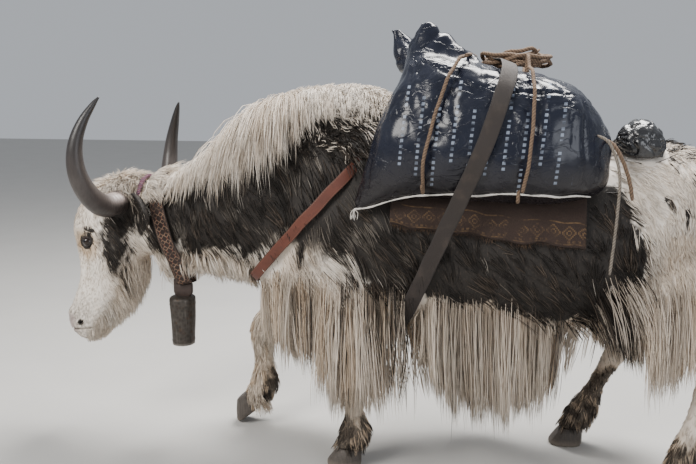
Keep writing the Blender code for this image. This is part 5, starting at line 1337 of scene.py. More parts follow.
def grow_coat():
    one = lambda value: lambda roots: np.full(len(roots), value)
    pelt("coat_face", 122, face_weight, face_length, 0.0010, lift=0.16, sag=0.0, wave=0.05, stand=0.0006, rings=3,
         clump=0.25, spread=4, seed=11, part_only=[HEAD_PART])
    pelt("coat_poll", 52, poll_weight, one(0.058), 0.0013, lift=0.75, sag=0.10, wave=0.30, stand=0.010, rings=4,
         clump=0.45, spread=9, seed=12, part_only=[HEAD_PART, NECK_PART],
         bend=lambda p, n, lie: lie + np.stack([0 * p[:, 0] - 0.3, 6 * p[:, 1], 0 * p[:, 0]], 1), tint=pale,
         vary=(0.4, 1.2))
    pelt("coat_beard", 56, beard_weight, beard_length, 0.0013, lift=0.6, sag=0.30, wave=0.12, stand=0.006, rings=4,
         clump=0.40, spread=9, seed=13, part_only=[HEAD_PART])
    pelt("coat_neck", 95, neck_weight, one(0.055), 0.0014, lift=0.28, sag=0.10, wave=0.14,
         stand=0.004, rings=4, clump=0.5, spread=10, seed=14, part_only=[NECK_PART],
         over=lambda p: 0.12 + 0.85 * rise(p[:, 2], 0.80, 0.87) * rise(-p[:, 0], 0.68, 0.74))
    pelt("coat_mane", 178, mane_weight, mane_length, 0.0015, lift=0.50, sag=0.34, wave=0.10, stand=0.016, rings=5,
         clump=0.42, spread=12, seed=15, part_only=[NECK_PART, TRUNK_PART, HEAD_PART], bend=outward, tint=pale,
         over=0.9, vary=(0.45, 1.15))
    pelt("coat_withers", 14, lambda p, f: rise(-np.hypot(p[:, 0] + 0.05, (p[:, 2] - 1.085) * 1.6), -0.12, -0.08),
         one(0.105), 0.0016, lift=0.45, sag=0.24, wave=0.25, stand=0.016, rings=4, clump=0.5, spread=9, seed=30,
         part_only=[TRUNK_PART], over=1.0)
    pelt("coat_nape", 20, lambda p, f: rise(p[:, 2], 0.86, 0.90) * rise(-p[:, 0], 0.795, 0.805) * (p[:, 0] > -0.875) * (np.abs(p[:, 1]) < 0.072),
         one(0.110), 0.0014, lift=0.55, sag=0.16, wave=0.12, stand=0.012, rings=4, clump=0.4, spread=9, seed=29,
         bend=lambda p, n, lie: np.stack([0 * p[:, 0] + 0.9, 7 * p[:, 1], 0 * p[:, 0] - 0.1], 1), tint=pale, over=1.0)
    pelt("coat_throat", 42, lambda p, f: rise(-f[:, 2], 0.50, 0.85) * (p[:, 0] > -0.82), one(0.078), 0.0017, lift=0.9,
         sag=0.30, wave=0.16, stand=0.010, rings=4, clump=0.5, spread=11, seed=16, part_only=[NECK_PART], tint=pale)
    pelt("coat_hump", 80, lambda p, f: rise(p[:, 2], 1.02, 1.10) * rise(p[:, 0], -0.42, -0.28),
         one(0.042), 0.0017, lift=0.70, sag=0.08, wave=0.60, stand=0.012, rings=4, clump=0.60, spread=8, seed=17,
         part_only=[TRUNK_PART, NECK_PART], tint=woolly, over=0.9)
    pelt("coat_shoulder", 95, lambda p, f: rise(-p[:, 0], -0.16, -0.06) * rise(p[:, 2], 0.50, 0.58), one(0.075), 0.0016,
         lift=0.25, sag=0.14, wave=0.12, stand=0.006, rings=4, clump=0.5, spread=11, seed=18, part_only=[TRUNK_PART, 3, 4],
         over=lambda p: 0.35 + 0.6 * rise(p[:, 2], 0.93, 1.0))
    pelt("coat_flank", 84, flank_weight,
         one(0.055), 0.0018, lift=0.22, sag=0.12, wave=0.12, stand=0.005, rings=4, clump=0.6, spread=12, seed=19,
         part_only=[TRUNK_PART, 5, 6], over=lambda p: 0.15 + 0.6 * rise(-p[:, 2], -0.72, -0.62))
    pelt("coat_rump", 88, lambda p, f: rise(p[:, 0], 0.66, 0.80) * rise(p[:, 2], 0.62, 0.72), one(0.048), 0.0017,
         lift=0.30, sag=0.06, wave=0.22, stand=0.007, rings=4, clump=0.5, spread=9, seed=20, part_only=[TRUNK_PART, 5, 6])
    pelt("coat_skirt", 150, skirt_weight, skirt_length, 0.0018, lift=0.55, sag=0.42, wave=0.08, stand=0.014, rings=5,
         clump=0.55, spread=16, seed=21, part_only=[TRUNK_PART],
         tint=beige, over=0.7, bend=straight_down, vary=(0.75, 1.08))
    pelt("coat_belly", 22, lambda p, f: rise(-f[:, 2], 0.45, 0.8), one(0.090), 0.0020, lift=0.6, sag=0.35, wave=0.2,
         stand=0.010, rings=4, clump=0.6, spread=14, seed=22, part_only=[TRUNK_PART])
    pelt("coat_thigh", 106, thigh_weight, thigh_length, 0.0018, lift=0.45, sag=0.40, wave=0.10, stand=0.012, rings=5,
         clump=0.52, spread=15, seed=23, part_only=[TRUNK_PART, 5, 6], tint=beige)
    pelt("coat_forearm", 108, forearm_weight, forearm_length, 0.0017, lift=0.50, sag=0.40, wave=0.10, stand=0.010,
         rings=5, clump=0.52, spread=15, seed=24, part_only=[3, 4, TRUNK_PART], tint=beige, bend=straight_down,
         over=0.85, vary=(0.70, 1.1))
    pelt("coat_brisket", 38, brisket_weight, brisket_length, 0.0022, lift=0.6, sag=0.42, wave=0.12, stand=0.012,
         rings=5, clump=0.52, spread=14, seed=25, part_only=[TRUNK_PART, NECK_PART], tint=beige)
    pelt("coat_shanks", 70, lambda p, f: rise(-p[:, 2], -0.46, -0.38), lambda p: 0.016 + 0.020 * rise(-p[:, 2], -0.22, -0.14),
         0.0013, lift=0.28, sag=0.05, wave=0.16, stand=0.0015, rings=3, clump=0.5, spread=8, seed=26,
         part_only=[3, 4, 5, 6])
    pelt("coat_tail", 56, lambda p, f: np.ones(len(p)), tail_length, 0.0024, lift=0.45, sag=0.45, wave=0.10,
         stand=0.008, rings=5, clump=0.5, spread=14, seed=27, part_only=[TAIL_PART])
    pelt("coat_ears", 34, trunk_weight, one(0.058), 0.0013, lift=0.70, sag=0.32, wave=0.10, stand=0.005, rings=4,
         clump=0.3, spread=7, seed=28, part_only=[EAR_PART], tint=ear_tone)


def pale(marks, roots, tone, own_tone):
    """Mane, forelock and throat hair is cream, with some grey and tan among it."""
    marks["dark"] = 0 * tone
    marks["grey"] = 0.30 * rise(wavy(roots, 0.06, 61) + tone, 0.6, 1.9)
    hanging = rise(-roots[:, 0], 0.20, 0.34) * rise(tone, 0.55, 0.90)
    marks["warm"] = 0.03 + 0.22 * rise(wavy(roots, 0.10, 62), 0.2, 1.6) + 0.42 * hanging


def woolly(marks, roots, tone, own_tone):
    """Wool on the hump is black and white, tuft by tuft."""
    chance = 0.75 * rise(-roots[:, 2], -1.215, -1.14)
    marks["dark"] = (0.6 * tone + 0.4 * own_tone < chance) * marks["dark"].clip(0.9, 1)
    marks["grey"] = 0.5 * rise(own_tone, 0.5, 0.9)


def beige(marks, roots, tone, own_tone):
    """Long hair of the skirt, thighs and forelegs is beige, browner lock by lock, dark only at its upper edge. Its high
    warm share is partly painted shade.
    """
    upper = rise(roots[:, 2] - near_line(BLACK_EDGE, roots[:, 0]), 0.05, 0.09) * (tone > 0.35)
    marks["dark"] = marks["dark"] * upper + (1 - upper) * 0.38 * (tone > 0.93)
    # A high warm share: partly the hair's own beige, partly painted shade of the shaded skirt.
    marks["warm"] = 0.34 + 0.50 * rise(np.mod(tone * 5.7, 1), 0.45, 0.95)
    marks["grey"] = np.maximum(0.3 * marks["grey"], 0.55 * (np.mod(tone * 3.1, 1) > 0.86))


def ear_tone(marks, roots, tone, own_tone):
    marks["dark"] = np.where(roots[:, 1] < 0, 0.75 + 0.2 * tone, 0.15)
    marks["grey"] = 0.4 * own_tone


def outward(points, normals, lie):
    """Mane hair parts along the crest and falls to both sides."""
    push = np.zeros_like(points)
    push[:, 1] = np.sign(points[:, 1]) * 0.9
    push[:, 0] = 0.25
    push[:, 2] = -0.2
    return push


def neck_weight(points, facing):
    """Fuller just over the collar, so that the hair there hides its upper part."""
    return 1 + 1.5 * rise(points[:, 2], 0.84, 0.90) * rise(-points[:, 0], 0.72, 0.78)


def mane_weight(points, facing):
    top = near_line(MANE_TOP, points[:, 0]) - 0.03
    crest = rise(points[:, 2] - top, -0.055, -0.010)
    return crest * rise(-points[:, 0], -0.02, 0.12) * (points[:, 0] > -0.86)


def mane_length(roots):
    fall = near_line(MANE_TOP, roots[:, 0]) - near_line(MANE_EDGE, roots[:, 0])
    return fall * 1.18 + 0.035 - 0.03 * rise(roots[:, 0], -0.34, -0.24)


def skirt_weight(points, facing):
    over = points[:, 2] - near_line(BLACK_EDGE, points[:, 0])
    low = (0.03 + rise(-over, -0.07, -0.01)) * rise(points[:, 2], 0.38, 0.44) * rise(-over, -0.12, -0.08)
    return low * rise(points[:, 0], 0.06, 0.20) * rise(-points[:, 0], -0.72, -0.64) * (np.abs(points[:, 1]) > 0.13)


def skirt_length(roots):
    return np.maximum(roots[:, 2] - near_line(SKIRT_EDGE, roots[:, 0]), 0.06) * 1.10


def straight_down(points, normals, lie):
    return np.tile([0.06, 0.0, -1.0], (len(points), 1))


def flank_weight(points, facing):
    edge = near_line(BLACK_EDGE, points[:, 0])
    return rise(points[:, 0], 0.0, 0.14) * rise(points[:, 2] - edge, -0.03, 0.03) * (points[:, 2] < 1.02)


def thigh_weight(points, facing):
    band = rise(-points[:, 2], -0.74, -0.62) * rise(points[:, 2], 0.40, 0.48)
    return band * rise(points[:, 0], 0.62, 0.70) * (np.abs(points[:, 1]) > 0.10)


def thigh_length(roots):
    return np.maximum(roots[:, 2] - near_line(THIGH_EDGE, roots[:, 0]), 0.05) * 1.0


def forearm_weight(points, facing):
    band = rise(-points[:, 2], -0.70, -0.62) * rise(points[:, 2], 0.33, 0.42)
    return band * rise(-points[:, 0], -0.16, -0.09) * (np.abs(points[:, 1]) > 0.06)


def forearm_length(roots):
    bottom = np.where(roots[:, 1] < 0, near_line(FOREARM_EDGE, roots[:, 0]), 0.30)
    return np.maximum(roots[:, 2] - bottom, 0.07) * 0.95


def brisket_weight(points, facing):
    return rise(-points[:, 0], 0.14, 0.22) * rise(-points[:, 2], -0.62, -0.54) * (np.abs(points[:, 1]) < 0.16)


def brisket_length(roots):
    return np.maximum(roots[:, 2] - np.interp(roots[:, 0], [-0.45, -0.36, -0.15], [0.40, 0.315, 0.40]), 0.06)


def tail_length(roots):
    return np.interp(roots[:, 2], [0.50, 0.70, 0.95], [0.16, 0.26, 0.18])


grow_coat()


# Eyes, horns and hooves

def eye_piece(side, name):
    """A wet ball with a raised cornea. Its marks run forward and up across the eye's opening."""
    outward, forward, up = eye_axes(side)
    rows, sides = 26, 40
    angles = np.linspace(0.0, math.pi, rows)
    turns = 2 * math.pi * np.arange(sides) / sides
    cornea = EYE_RADIUS + 0.0014 * np.clip(1 - (angles / 0.72) ** 2, 0, 1)
    ring = np.cos(turns)[:, None] * forward + np.sin(turns)[:, None] * up
    points = cornea[:, None, None] * (np.cos(angles)[:, None, None] * outward + np.sin(angles)[:, None, None] * ring)
    local = (points + EYE_CENTRE * (1, side, 1)).reshape(-1, 3)
    marks = {"ahead": (points @ forward).ravel(), "over": (points @ up).ravel()}
    piece = mesh_piece(name + "_ball", turned(local), grid_faces(rows, sides)[:, ::-1], marks=marks)
    return own(piece, name)


def add_eyes():
    finish = Finish("eye", Roughness=0.10, Specular_IOR_Level=0.35, Coat_Weight=0.25, Coat_Roughness=0.02)
    ahead, over = finish.attribute("ahead"), finish.attribute("over")
    reach = (ahead * ahead + over * over) ** 0.5
    fibres = finish.noise(finish.stretched(finish.place(), (900.0, 900.0, 900.0)), 1.0, 2.0)
    iris = finish.blend(fibres, (0.006, 0.003, 0.002), (0.022, 0.011, 0.006))
    ball = finish.blend(reach.between(0.0135, 0.0155), iris, (0.016, 0.011, 0.009))
    slit = ((ahead / 0.0078) ** 2 + (over / 0.0042) ** 2)
    finish.colour(finish.blend(slit.between(0.8, 1.25), (0.003, 0.003, 0.004), ball))
    for side, name in ((NEAR, "eye_near"), (FAR, "eye_far")):
        piece = eye_piece(side, name)
        dress(piece, finish)


HORN_ROOT = np.array([-0.925, 0.060, 0.862])
# The horn's middle line from its root (outward, x, z) with its radius.
HORN = [(-0.010, 0.000, 0.000, 0.0405), (0.050, 0.000, -0.010, 0.0405), (0.118, -0.004, -0.012, 0.0395),
        (0.180, -0.010, 0.020, 0.0370), (0.224, -0.020, 0.076, 0.0330), (0.244, -0.025, 0.140, 0.0285),
        (0.246, -0.019, 0.206, 0.0232), (0.234, 0.000, 0.270, 0.0170), (0.212, 0.024, 0.324, 0.0095),
        (0.199, 0.038, 0.349, 0.0030)]


def horn_piece(side, name):
    """A smooth tapering horn with growth rings swelling it near its root."""
    line = smooth_line([(x, side * out, z, radius) for out, x, z, radius in HORN], 0.0035)
    runs = np.concatenate([[0], np.cumsum(np.linalg.norm(np.diff(line[:, :3], axis=0), axis=1))])
    middle = HORN_ROOT * (1, side, 1) + line[:, :3]
    along = unit(np.gradient(middle, axis=0))
    forward = unit(np.array([1.0, 0, 0]) - along * along[:, :1])
    beside = np.cross(along, forward)
    turns = 2 * math.pi * np.arange(36) / 36
    swell = 1 + 0.022 * np.sin(runs * 330.0 + 1.2 * np.sin(runs * 90.0)) * np.clip(1 - runs / 0.20, 0, 1) - 0.01
    reach = (line[:, 3] * swell)[:, None, None]
    rings = middle[:, None] + reach * (np.cos(turns)[None, :, None] * forward[:, None] + np.sin(turns)[None, :, None] * beside[:, None])
    points, faces = tube_form(list(rings))
    return own(mesh_piece(name + "_grown", turned(points), faces), name)


def add_horns():
    finish = Finish("horn", Roughness=0.36, Specular_IOR_Level=0.45, Coat_Weight=0.12, Coat_Roughness=0.3)
    place, reach, upper = finish.place(), finish.attribute("reach"), finish.attribute("upper")
    streak = finish.noise(finish.stretched(place, (150.0, 150.0, 22.0)), 1.0, 4.0, 0.6)
    wash = finish.noise(place, 16.0, 3.0)
    body = finish.blend(streak, (0.020, 0.016, 0.015), (0.072, 0.058, 0.052))
    body = finish.blend(wash.between(0.35, 0.75) * 0.4, body, (0.090, 0.074, 0.068))
    rosy = finish.blend(streak, (0.30, 0.235, 0.215), (0.55, 0.47, 0.43))
    # The rosy root colour is laid only on the upward-facing side: partly the horn's paler root, partly painted light
    # from above.
    body = finish.blend(upper * (1 - reach.between(0.04, 0.16)), body, rosy)
    body = finish.blend(reach.between(0.24, 0.38), body, (0.014, 0.012, 0.012))
    finish.colour(body)
    rings = ((reach * 520.0 + wash * 6.0).sine() * 0.5 + 0.5) * (1 - reach.between(0.05, 0.20))
    finish.bump(rings * 0.7 + streak * 0.6, 0.0016, 0.55)
    finish.feed("Roughness", 0.30 + streak * 0.22)
    for side, name in ((NEAR, "horn_near"), (FAR, "horn_far")):
        piece = horn_piece(side, name)
        points = points_of(piece)
        root = turned(HORN_ROOT[None] * (1, side, 1))[0]
        # upper: how far each point faces up, which masks the partly painted light on the root.
        mark_piece(piece, {"reach": np.linalg.norm(points - root, axis=1),
                           "upper": rise(normals_of(piece)[:, 2], -0.1, 0.7)})
        dress(piece, finish)


def add_hooves():
    finish = Finish("hoof", Roughness=0.55)
    place = finish.place()
    height = finish.parts(place)[2]
    streak = finish.noise(finish.stretched(place, (240.0, 240.0, 30.0)), 1.0, 3.0)
    dust = finish.noise(place, 60.0, 4.0, 0.65)
    shell = finish.blend(streak, (0.018, 0.015, 0.013), (0.105, 0.085, 0.070))
    shell = finish.blend((1 - height.between(0.0, 0.03)) * dust, shell, (0.26, 0.215, 0.165))
    finish.colour(shell)
    ledge = ((height * 900.0 + dust * 4.0).sine() * 0.5 + 0.5)
    finish.bump(ledge * 0.5 + streak, 0.0012, 0.6)
    finish.feed("Roughness", 0.42 + dust * 0.30)
    for name in ("hoof_fore_near", "hoof_fore_far", "hoof_hind_near", "hoof_hind_far"):
        piece = rounded_copy(name, name + "_shell", 0.0035, 5)
        dress(piece, finish)


add_eyes()
add_horns()
add_hooves()


# Straps: each is laid again along its packed band, in the band's own plane

GIRTH_PLANE = (Vector((0.350, -0.120, 1.297)), Vector((1.0, 0.151, -0.376)).normalized())
BREAST_PLANE = (Vector((-0.280, 0.0, 0.800)), Vector((1.0, 0.0, -0.930)).normalized())
COLLAR_PLANE = (Vector((-0.766, 0.0, 0.800)), Vector((1.0, 0.0, 0.240)).normalized())


def world_points(node):
    return np.array([NODES[node].matrix_world @ vertex.co for vertex in NODES[node].data.vertices])


def outer_run(points, origin, across, upward):
    """The hull of the points in a plane, opened at its longest side where nothing spans it."""
    flat = np.stack([(points - origin) @ across, (points - origin) @ upward], 1)
    corners = flat[convex_hull_2d([Vector(spot) for spot in flat])]
    spans = np.linalg.norm(np.roll(corners, -1, 0) - corners, axis=1)
    longest = int(np.argmax(spans))
    is_open = spans[longest] > 0.13
    corners = np.roll(corners, -longest - 1, 0) if is_open else corners
    kept = [corners[0]]
    for corner in corners[1:]:
        if np.linalg.norm(corner - kept[-1]) > 0.012:
            kept.append(corner)
    if not is_open:
        kept.append(kept[0])
    return np.array(kept), is_open


def evenly(line, spacing):
    """The line's points at even distances."""
    runs = np.concatenate([[0], np.cumsum(np.linalg.norm(np.diff(line, axis=0), axis=1))])
    at = np.linspace(0, runs[-1], max(3, int(round(runs[-1] / spacing)) + 1))
    return np.stack([np.interp(at, runs, line[:, k]) for k in range(line.shape[1])], 1)


def band(name, node, plane, thickness, mirror_far=False, width=None, sides=24):
    """The plane, the outline and the half width of a packed band, for a strap laid along it."""
    origin, normal = (np.array(value) for value in plane)
    upward = unit(np.array([0, 0, 1.0]) - normal * normal[2])
    across = np.cross(normal, upward)
    points = world_points(node)
    if mirror_far:
        points = points[points[:, 1] < 0.002]
    heights = (points - origin) @ normal
    half_width = width / 2 if width else (heights.max() - heights.min()) / 2
    run, is_open = outer_run(points, origin, across, upward)
    line = smooth_line(evenly(run, 0.055), 0.009)
    if not is_open and not mirror_far:
        line = line[:-1]
    return origin, normal, across, upward, line, half_width, is_open or mirror_far


def strap_piece(name, node, plane, thickness, split_far=False, width=None, sides=24):
    origin, normal, across, upward, line, half_width, is_open = band(name, node, plane, thickness, split_far, width)
    closed = not is_open
    ahead = np.roll(line, -1, 0) if closed else np.vstack([line[1:], 2 * line[-1] - line[-2]])
    behind = np.roll(line, 1, 0) if closed else np.vstack([2 * line[0] - line[1], line[:-1]])
    tangent = unit(ahead - behind)
    outward = np.stack([tangent[:, 1], -tangent[:, 0]], 1)
    middle = line.mean(0)
    outward *= np.sign(((line - middle) * outward).sum(1, keepdims=True))
    runs = np.concatenate([[0], np.cumsum(np.linalg.norm(np.diff(line, axis=0), axis=1))])
    turns = 2 * math.pi * (np.arange(sides) + 0.5) / sides
    wide = np.sign(np.cos(turns)) * np.abs(np.cos(turns)) ** 0.35 * half_width
    deep = np.sign(np.sin(turns)) * np.abs(np.sin(turns)) ** 0.55 * thickness / 2
    waver = 0.0012 * wavy(np.c_[line, np.zeros(len(line))], 0.16, 71)
    sunk = 0.026 * rise(-np.minimum(runs, runs[-1] - runs), -0.13, -0.01) * (name == "breast_band")
    flat = line[:, None] + outward[:, None] * (deep[None, :, None] - thickness / 2 - sunk[:, None, None])
    spots = origin + flat[..., :1] * across + flat[..., 1:] * upward
    spots = spots + normal * (wide[None, :, None] + waver[:, None, None])
    points = spots.reshape(-1, 3)
    faces = [grid_faces(len(line), sides, closed)]
    if not closed:
        faces += [np.arange(sides)[None, ::-1], np.arange(sides)[None] + (len(line) - 1) * sides]
    marks = {"run": np.repeat(runs, sides), "across": np.tile(wide / half_width, len(line))}
    return points, faces, marks


def add_strap(name, node, plane, thickness, finish, mirrored=False, width=None):
    points, faces, marks = strap_piece(name, node, plane, thickness, mirrored, width)
    if mirrored:
        far = points * (1, -1, 1)
        points, faces = joined([(points, faces), (far, [group[:, ::-1] for group in faces])])
        marks = {key: np.tile(values, 2) for key, values in marks.items()}
    piece = own(mesh_piece(name, points, faces, marks=marks), node)
    dress(piece, finish)
    return piece


def webbing_finish():
    finish = Finish("girth_webbing", Roughness=0.80)
    run, across, place = finish.attribute("run"), finish.attribute("across"), finish.place()
    weave = ((run * 1900.0).sine() * (across * 46.0).sine()) * 0.5 + 0.5
    wear = finish.noise(place, 22.0, 4.0, 0.6)
    body = finish.blend(weave, (0.010, 0.007, 0.006), (0.042, 0.031, 0.026))
    body = finish.blend(wear.between(0.45, 0.85) * 0.5, body, (0.085, 0.064, 0.050))
    edge = across.size().between(0.80, 0.92)
    body = finish.blend(edge * 0.5, body, (0.018, 0.015, 0.014))
    # Paler grey-brown patches, more of them towards the top of the load.
    toward_top = finish.parts(place)[2].between(1.20, 1.34)
    finish.colour(finish.blend(toward_top * (0.02 + 0.28 * wear), body, (0.20, 0.185, 0.17)))
    finish.bump(weave + wear * 0.6, 0.0012, 0.6)
    finish.feed("Roughness", 0.66 + wear * 0.2)
    return finish


def leather_finish():
    finish = Finish("strap_leather", Roughness=0.5, Specular_IOR_Level=0.4)
    run, across, place = finish.attribute("run"), finish.attribute("across"), finish.place()
    grain = finish.cells(place, 420.0)
    wash = finish.noise(place, 14.0, 4.0, 0.6)
    hide = finish.blend(wash, (0.055, 0.016, 0.010), (0.150, 0.044, 0.026))
    rubbed = finish.noise(finish.stretched(place, (60.0, 60.0, 60.0)), 1.0, 4.0, 0.7)
    hide = finish.blend(rubbed.between(0.52, 0.80) * 0.6, hide, (0.045, 0.022, 0.016))
    line = 1 - (across.size() - 0.80).size().between(0.02, 0.06)
    stitch = line * ((run * 130.0).fraction() - 0.5).size().between(0.14, 0.20)
    hide = finish.blend(across.size().between(0.86, 0.98), hide, (0.050, 0.020, 0.013))
    finish.colour(finish.blend(stitch * 0.6, hide, (0.20, 0.10, 0.06)))
    finish.bump(grain * 0.5 - line * 0.9 + stitch * 1.2 + rubbed * 0.5, 0.0010, 0.6)
    finish.feed("Roughness", 0.42 + rubbed * 0.30)
    return finish


def collar_finish():
    """A woven band with rows of tan diamonds between edge stripes, on dark brown."""
    finish = Finish("collar_weave", Roughness=0.85)
    run, across, place = finish.attribute("run"), finish.attribute("across"), finish.place()
    thread = ((run * 2400.0).sine() * (across * 60.0).sine()) * 0.5 + 0.5
    wear = finish.noise(place, 60.0, 3.0, 0.6)
    ground = finish.blend(thread, (0.012, 0.008, 0.007), (0.044, 0.026, 0.020))
    half = across.size()
    step = (run / 0.024).fraction()
    zig = (step - 0.5).size() * 2
    column = (half - 0.38).size() * 2.1
    diamond = ((zig + column) - 0.72).size()
    motif = (1 - diamond.between(0.10, 0.20)) * (1 - half.between(0.72, 0.76)) * (1 - zig.between(0.80, 0.84))
    core = (1 - ((1 - zig) + column).between(0.20, 0.30)) * 0.6
    rail = (1 - (half - 0.80).size().between(0.035, 0.060)) * ((run / 0.0062).fraction() - 0.5).size().between(0.12, 0.2)
    tan = finish.blend(wear, (0.12, 0.060, 0.036), (0.36, 0.225, 0.150))
    red = finish.blend(wear, (0.16, 0.022, 0.014), (0.30, 0.060, 0.030))
    worn = wear.between(0.30, 0.55)
    pattern = finish.blend(motif.most(rail) * worn, ground, tan)
    finish.colour(finish.blend(core * worn, pattern, red))
    finish.bump(thread + motif * 0.8 + rail * 0.5 + wear * 0.5, 0.0012, 0.7)
    return finish


GIRTH = add_strap("girth_band", "girth", GIRTH_PLANE, 0.0045, webbing_finish(), mirrored=True, width=0.050)
BREAST = add_strap("breast_band", "breast_strap", BREAST_PLANE, 0.0050, leather_finish(), width=0.036)
COLLAR = add_strap("collar_band", "collar", COLLAR_PLANE, 0.0060, collar_finish())


# Ropes over the load and the yarn over the poll, laid again along their packed routes

def route_of(node, reach, start):
    """The middle line of a packed cord: its rings' middles, in order from a start."""
    points = world_points(node)
    left = np.ones(len(points), bool)
    middles = []
    while left.any():
        seed = points[np.flatnonzero(left)[0]]
        near = left & (np.linalg.norm(points - seed, axis=1) < reach)
        middles.append(points[near].mean(0))
        left &= ~near
    order, here = [], np.array(start)
    while middles:
        k = int(np.argmin([np.linalg.norm(middle - here) for middle in middles]))
        here = middles.pop(k)
        order.append(here)
    return np.array(order)


def rope_finish(name, pale_tone, dark_tone, pitch=0.030):
    finish = Finish(name, Roughness=0.88)
    run, turn_round, place = finish.attribute("run"), finish.attribute("round"), finish.place()
    fibre = ((run * (2 * math.pi / pitch * 9) + turn_round * 9.0).sine()) * 0.5 + 0.5
    lay = ((run * (2 * math.pi / pitch * 3) - turn_round * 3.0).sine()) * 0.5 + 0.5
    soil = finish.noise(place, 45.0, 4.0, 0.65)
    tone = finish.blend((lay * 0.6 + fibre * 0.4), dark_tone, pale_tone)
    finish.colour(finish.blend(soil.between(0.5, 0.85) * 0.6, tone, tuple(0.5 * part for part in dark_tone)))
    finish.bump(fibre * 0.5 + soil, 0.0008, 0.6)
    return finish


def add_ropes():
    tan = rope_finish("rope_tan", (0.230, 0.150, 0.095), (0.050, 0.030, 0.019))
    grey = rope_finish("rope_grey", (0.26, 0.22, 0.18), (0.060, 0.050, 0.040))
    for node, start in (("sack_rope_front", (0.15, -0.42, 0.96)), ("sack_rope_rear", (0.42, -0.44, 0.95))):
        route = route_of(node, 0.0135, start)
        piece = own(rope_piece(node + "_laid", smooth_line(route, 0.006), 0.0056), node)
        dress(piece, tan)
    yarn = route_of("poll_cord", 0.0155, (-0.85, -0.11, 0.885))
    finish = Finish("yarn", Roughness=0.95)
    run, turn_round = finish.attribute("run"), finish.attribute("round")
    strand = (run * 120.0 - turn_round * (1.5 / math.pi)).fraction()
    fuzz = finish.noise(finish.place(), 300.0, 3.0)
    red = finish.blend(fuzz, (0.060, 0.006, 0.012), (0.150, 0.024, 0.036))
    violet = finish.blend(fuzz, (0.012, 0.005, 0.018), (0.040, 0.018, 0.052))
    wool = finish.blend(strand.between(0.30, 0.36), red, violet)
    finish.colour(finish.blend(strand.between(0.84, 0.88), wool, (0.36, 0.24, 0.27)))
    finish.bump(fuzz, 0.0012, 0.8)
    piece = own(rope_piece("poll_yarn", smooth_line(yarn, 0.003), 0.0072, 3, 3.2, 18, fray=0.10), "poll_cord")
    dress(piece, finish)
    dress(CORDS["rope_hank"], tan)
    dress(CORDS["rope_tail_short"], tan)
    dress(CORDS["rope_tail_long"], grey)


add_ropes()


# The bell: raised sheet metal, open below, on a leather tab

BELL_AXIS, BELL_TOP, BELL_MOUTH = np.array([-0.732, -0.030]), 0.526, 0.350


def add_bell():
    outer = [(0.004, 0.5255), (0.026, 0.5255), (0.040, 0.5245), (0.0490, 0.5195), (0.0515, 0.512), (0.0512, 0.500),
             (0.0520, 0.497), (0.0508, 0.493), (0.0490, 0.460), (0.0470, 0.420), (0.0450, 0.385), (0.0442, 0.370),
             (0.0452, 0.366), (0.0440, 0.361), (0.0432, 0.354), (0.0430, 0.3505)]
    inner = [(0.0400, 0.3505), (0.0398, 0.356), (0.0415, 0.385), (0.0440, 0.430), (0.0462, 0.490), (0.0455, 0.512),
             (0.0380, 0.518), (0.004, 0.5185)]
    profile = smooth_line(outer, 0.0035).tolist() + smooth_line(inner, 0.006).tolist()
    sides = 56
    turns = 2 * math.pi * np.arange(sides) / sides
    rings = []
    for radius, z in profile:
        dents = 1 + 0.018 * wavy(np.c_[np.cos(turns), np.sin(turns), np.full(sides, z * 9)], 1.1, 81)
        reach = radius * dents
        rings.append(np.c_[BELL_AXIS[0] + np.cos(turns) * reach * 0.9, BELL_AXIS[1] + np.sin(turns) * reach,
                           np.full(sides, z)])
    points, faces = tube_form(rings)
    piece = own(mesh_piece("bell_raised", points, faces), "bell")
    finish = Finish("bell_metal", Metallic=0.75, Roughness=0.55)
    place = finish.place()
    height = finish.parts(place)[2]
    hammer = finish.cells(place, 85.0)
    rust = finish.noise(place, 55.0, 5.0, 0.65)
    run_off = finish.noise(finish.stretched(place, (160.0, 160.0, 12.0)), 1.0, 3.0)
    metal = finish.blend(hammer, (0.042, 0.036, 0.031), (0.088, 0.077, 0.068))
    metal = finish.blend(rust.between(0.50, 0.78), metal, (0.085, 0.048, 0.028))
    metal = finish.blend(run_off.between(0.55, 0.80) * 0.6, metal, (0.17, 0.155, 0.14))
    finish.colour(finish.blend(height.between(0.362, 0.352), metal, (0.22, 0.20, 0.18)))
    finish.feed("Roughness", 0.40 + rust * 0.35)
    finish.bump(hammer * 0.8 + rust * 0.6, 0.0012, 0.5)
    dress(piece, finish)
    clapper = rounded_copy("bell_clapper", "clapper_rod", 0.0016, 4)
    dress(clapper, finish)
    tab = rounded_copy("bell_loop", "bell_tab", 0.0018, 4)
    spots = points_of(tab)
    broad = 1 + rise(spots[:, 2], 0.515, 0.545)[:, None] * (1.3, 0.5, 0.45)
    move_points(tab, spots.mean(0) + (spots - spots.mean(0)) * broad)
    leather = Finish("tab_leather", Roughness=0.6)
    wash = leather.noise(leather.place(), 70.0, 4.0)
    leather.colour(leather.blend(wash, (0.012, 0.007, 0.006), (0.050, 0.028, 0.020)))
    leather.bump(leather.cells(leather.place(), 500.0) + wash, 0.0010, 0.6)
    dress(tab, leather)


add_bell()


# The load: two full sacks of glossy woven plastic, a saddle blanket under them and a tied bag behind

def creases(points, size, seed):
    """Sharp folds: high along wandering lines and flat between them."""
    return (1 - np.minimum(np.abs(wavy(points, size, seed)), 1.0)) ** 3


def rope_press(points, side):
    """How hard the two ropes and the girth press in the sack at each point."""
    press = np.zeros(len(points))
    for node, depth, reach in (("sack_rope_front", 0.010, 0.020), ("sack_rope_rear", 0.010, 0.020), ("girth", 0.007, 0.042)):
        cord = KDTree(len(NODES[node].data.vertices))
        route = world_points(node)
        for k, spot in enumerate(route):
            cord.insert(spot, k)
        cord.balance()
        distance = np.array([cord.find(spot)[2] for spot in points])
        press = np.maximum(press, depth * np.exp(-(distance / (reach + 0.012)) ** 2 * 1.6))
    return press


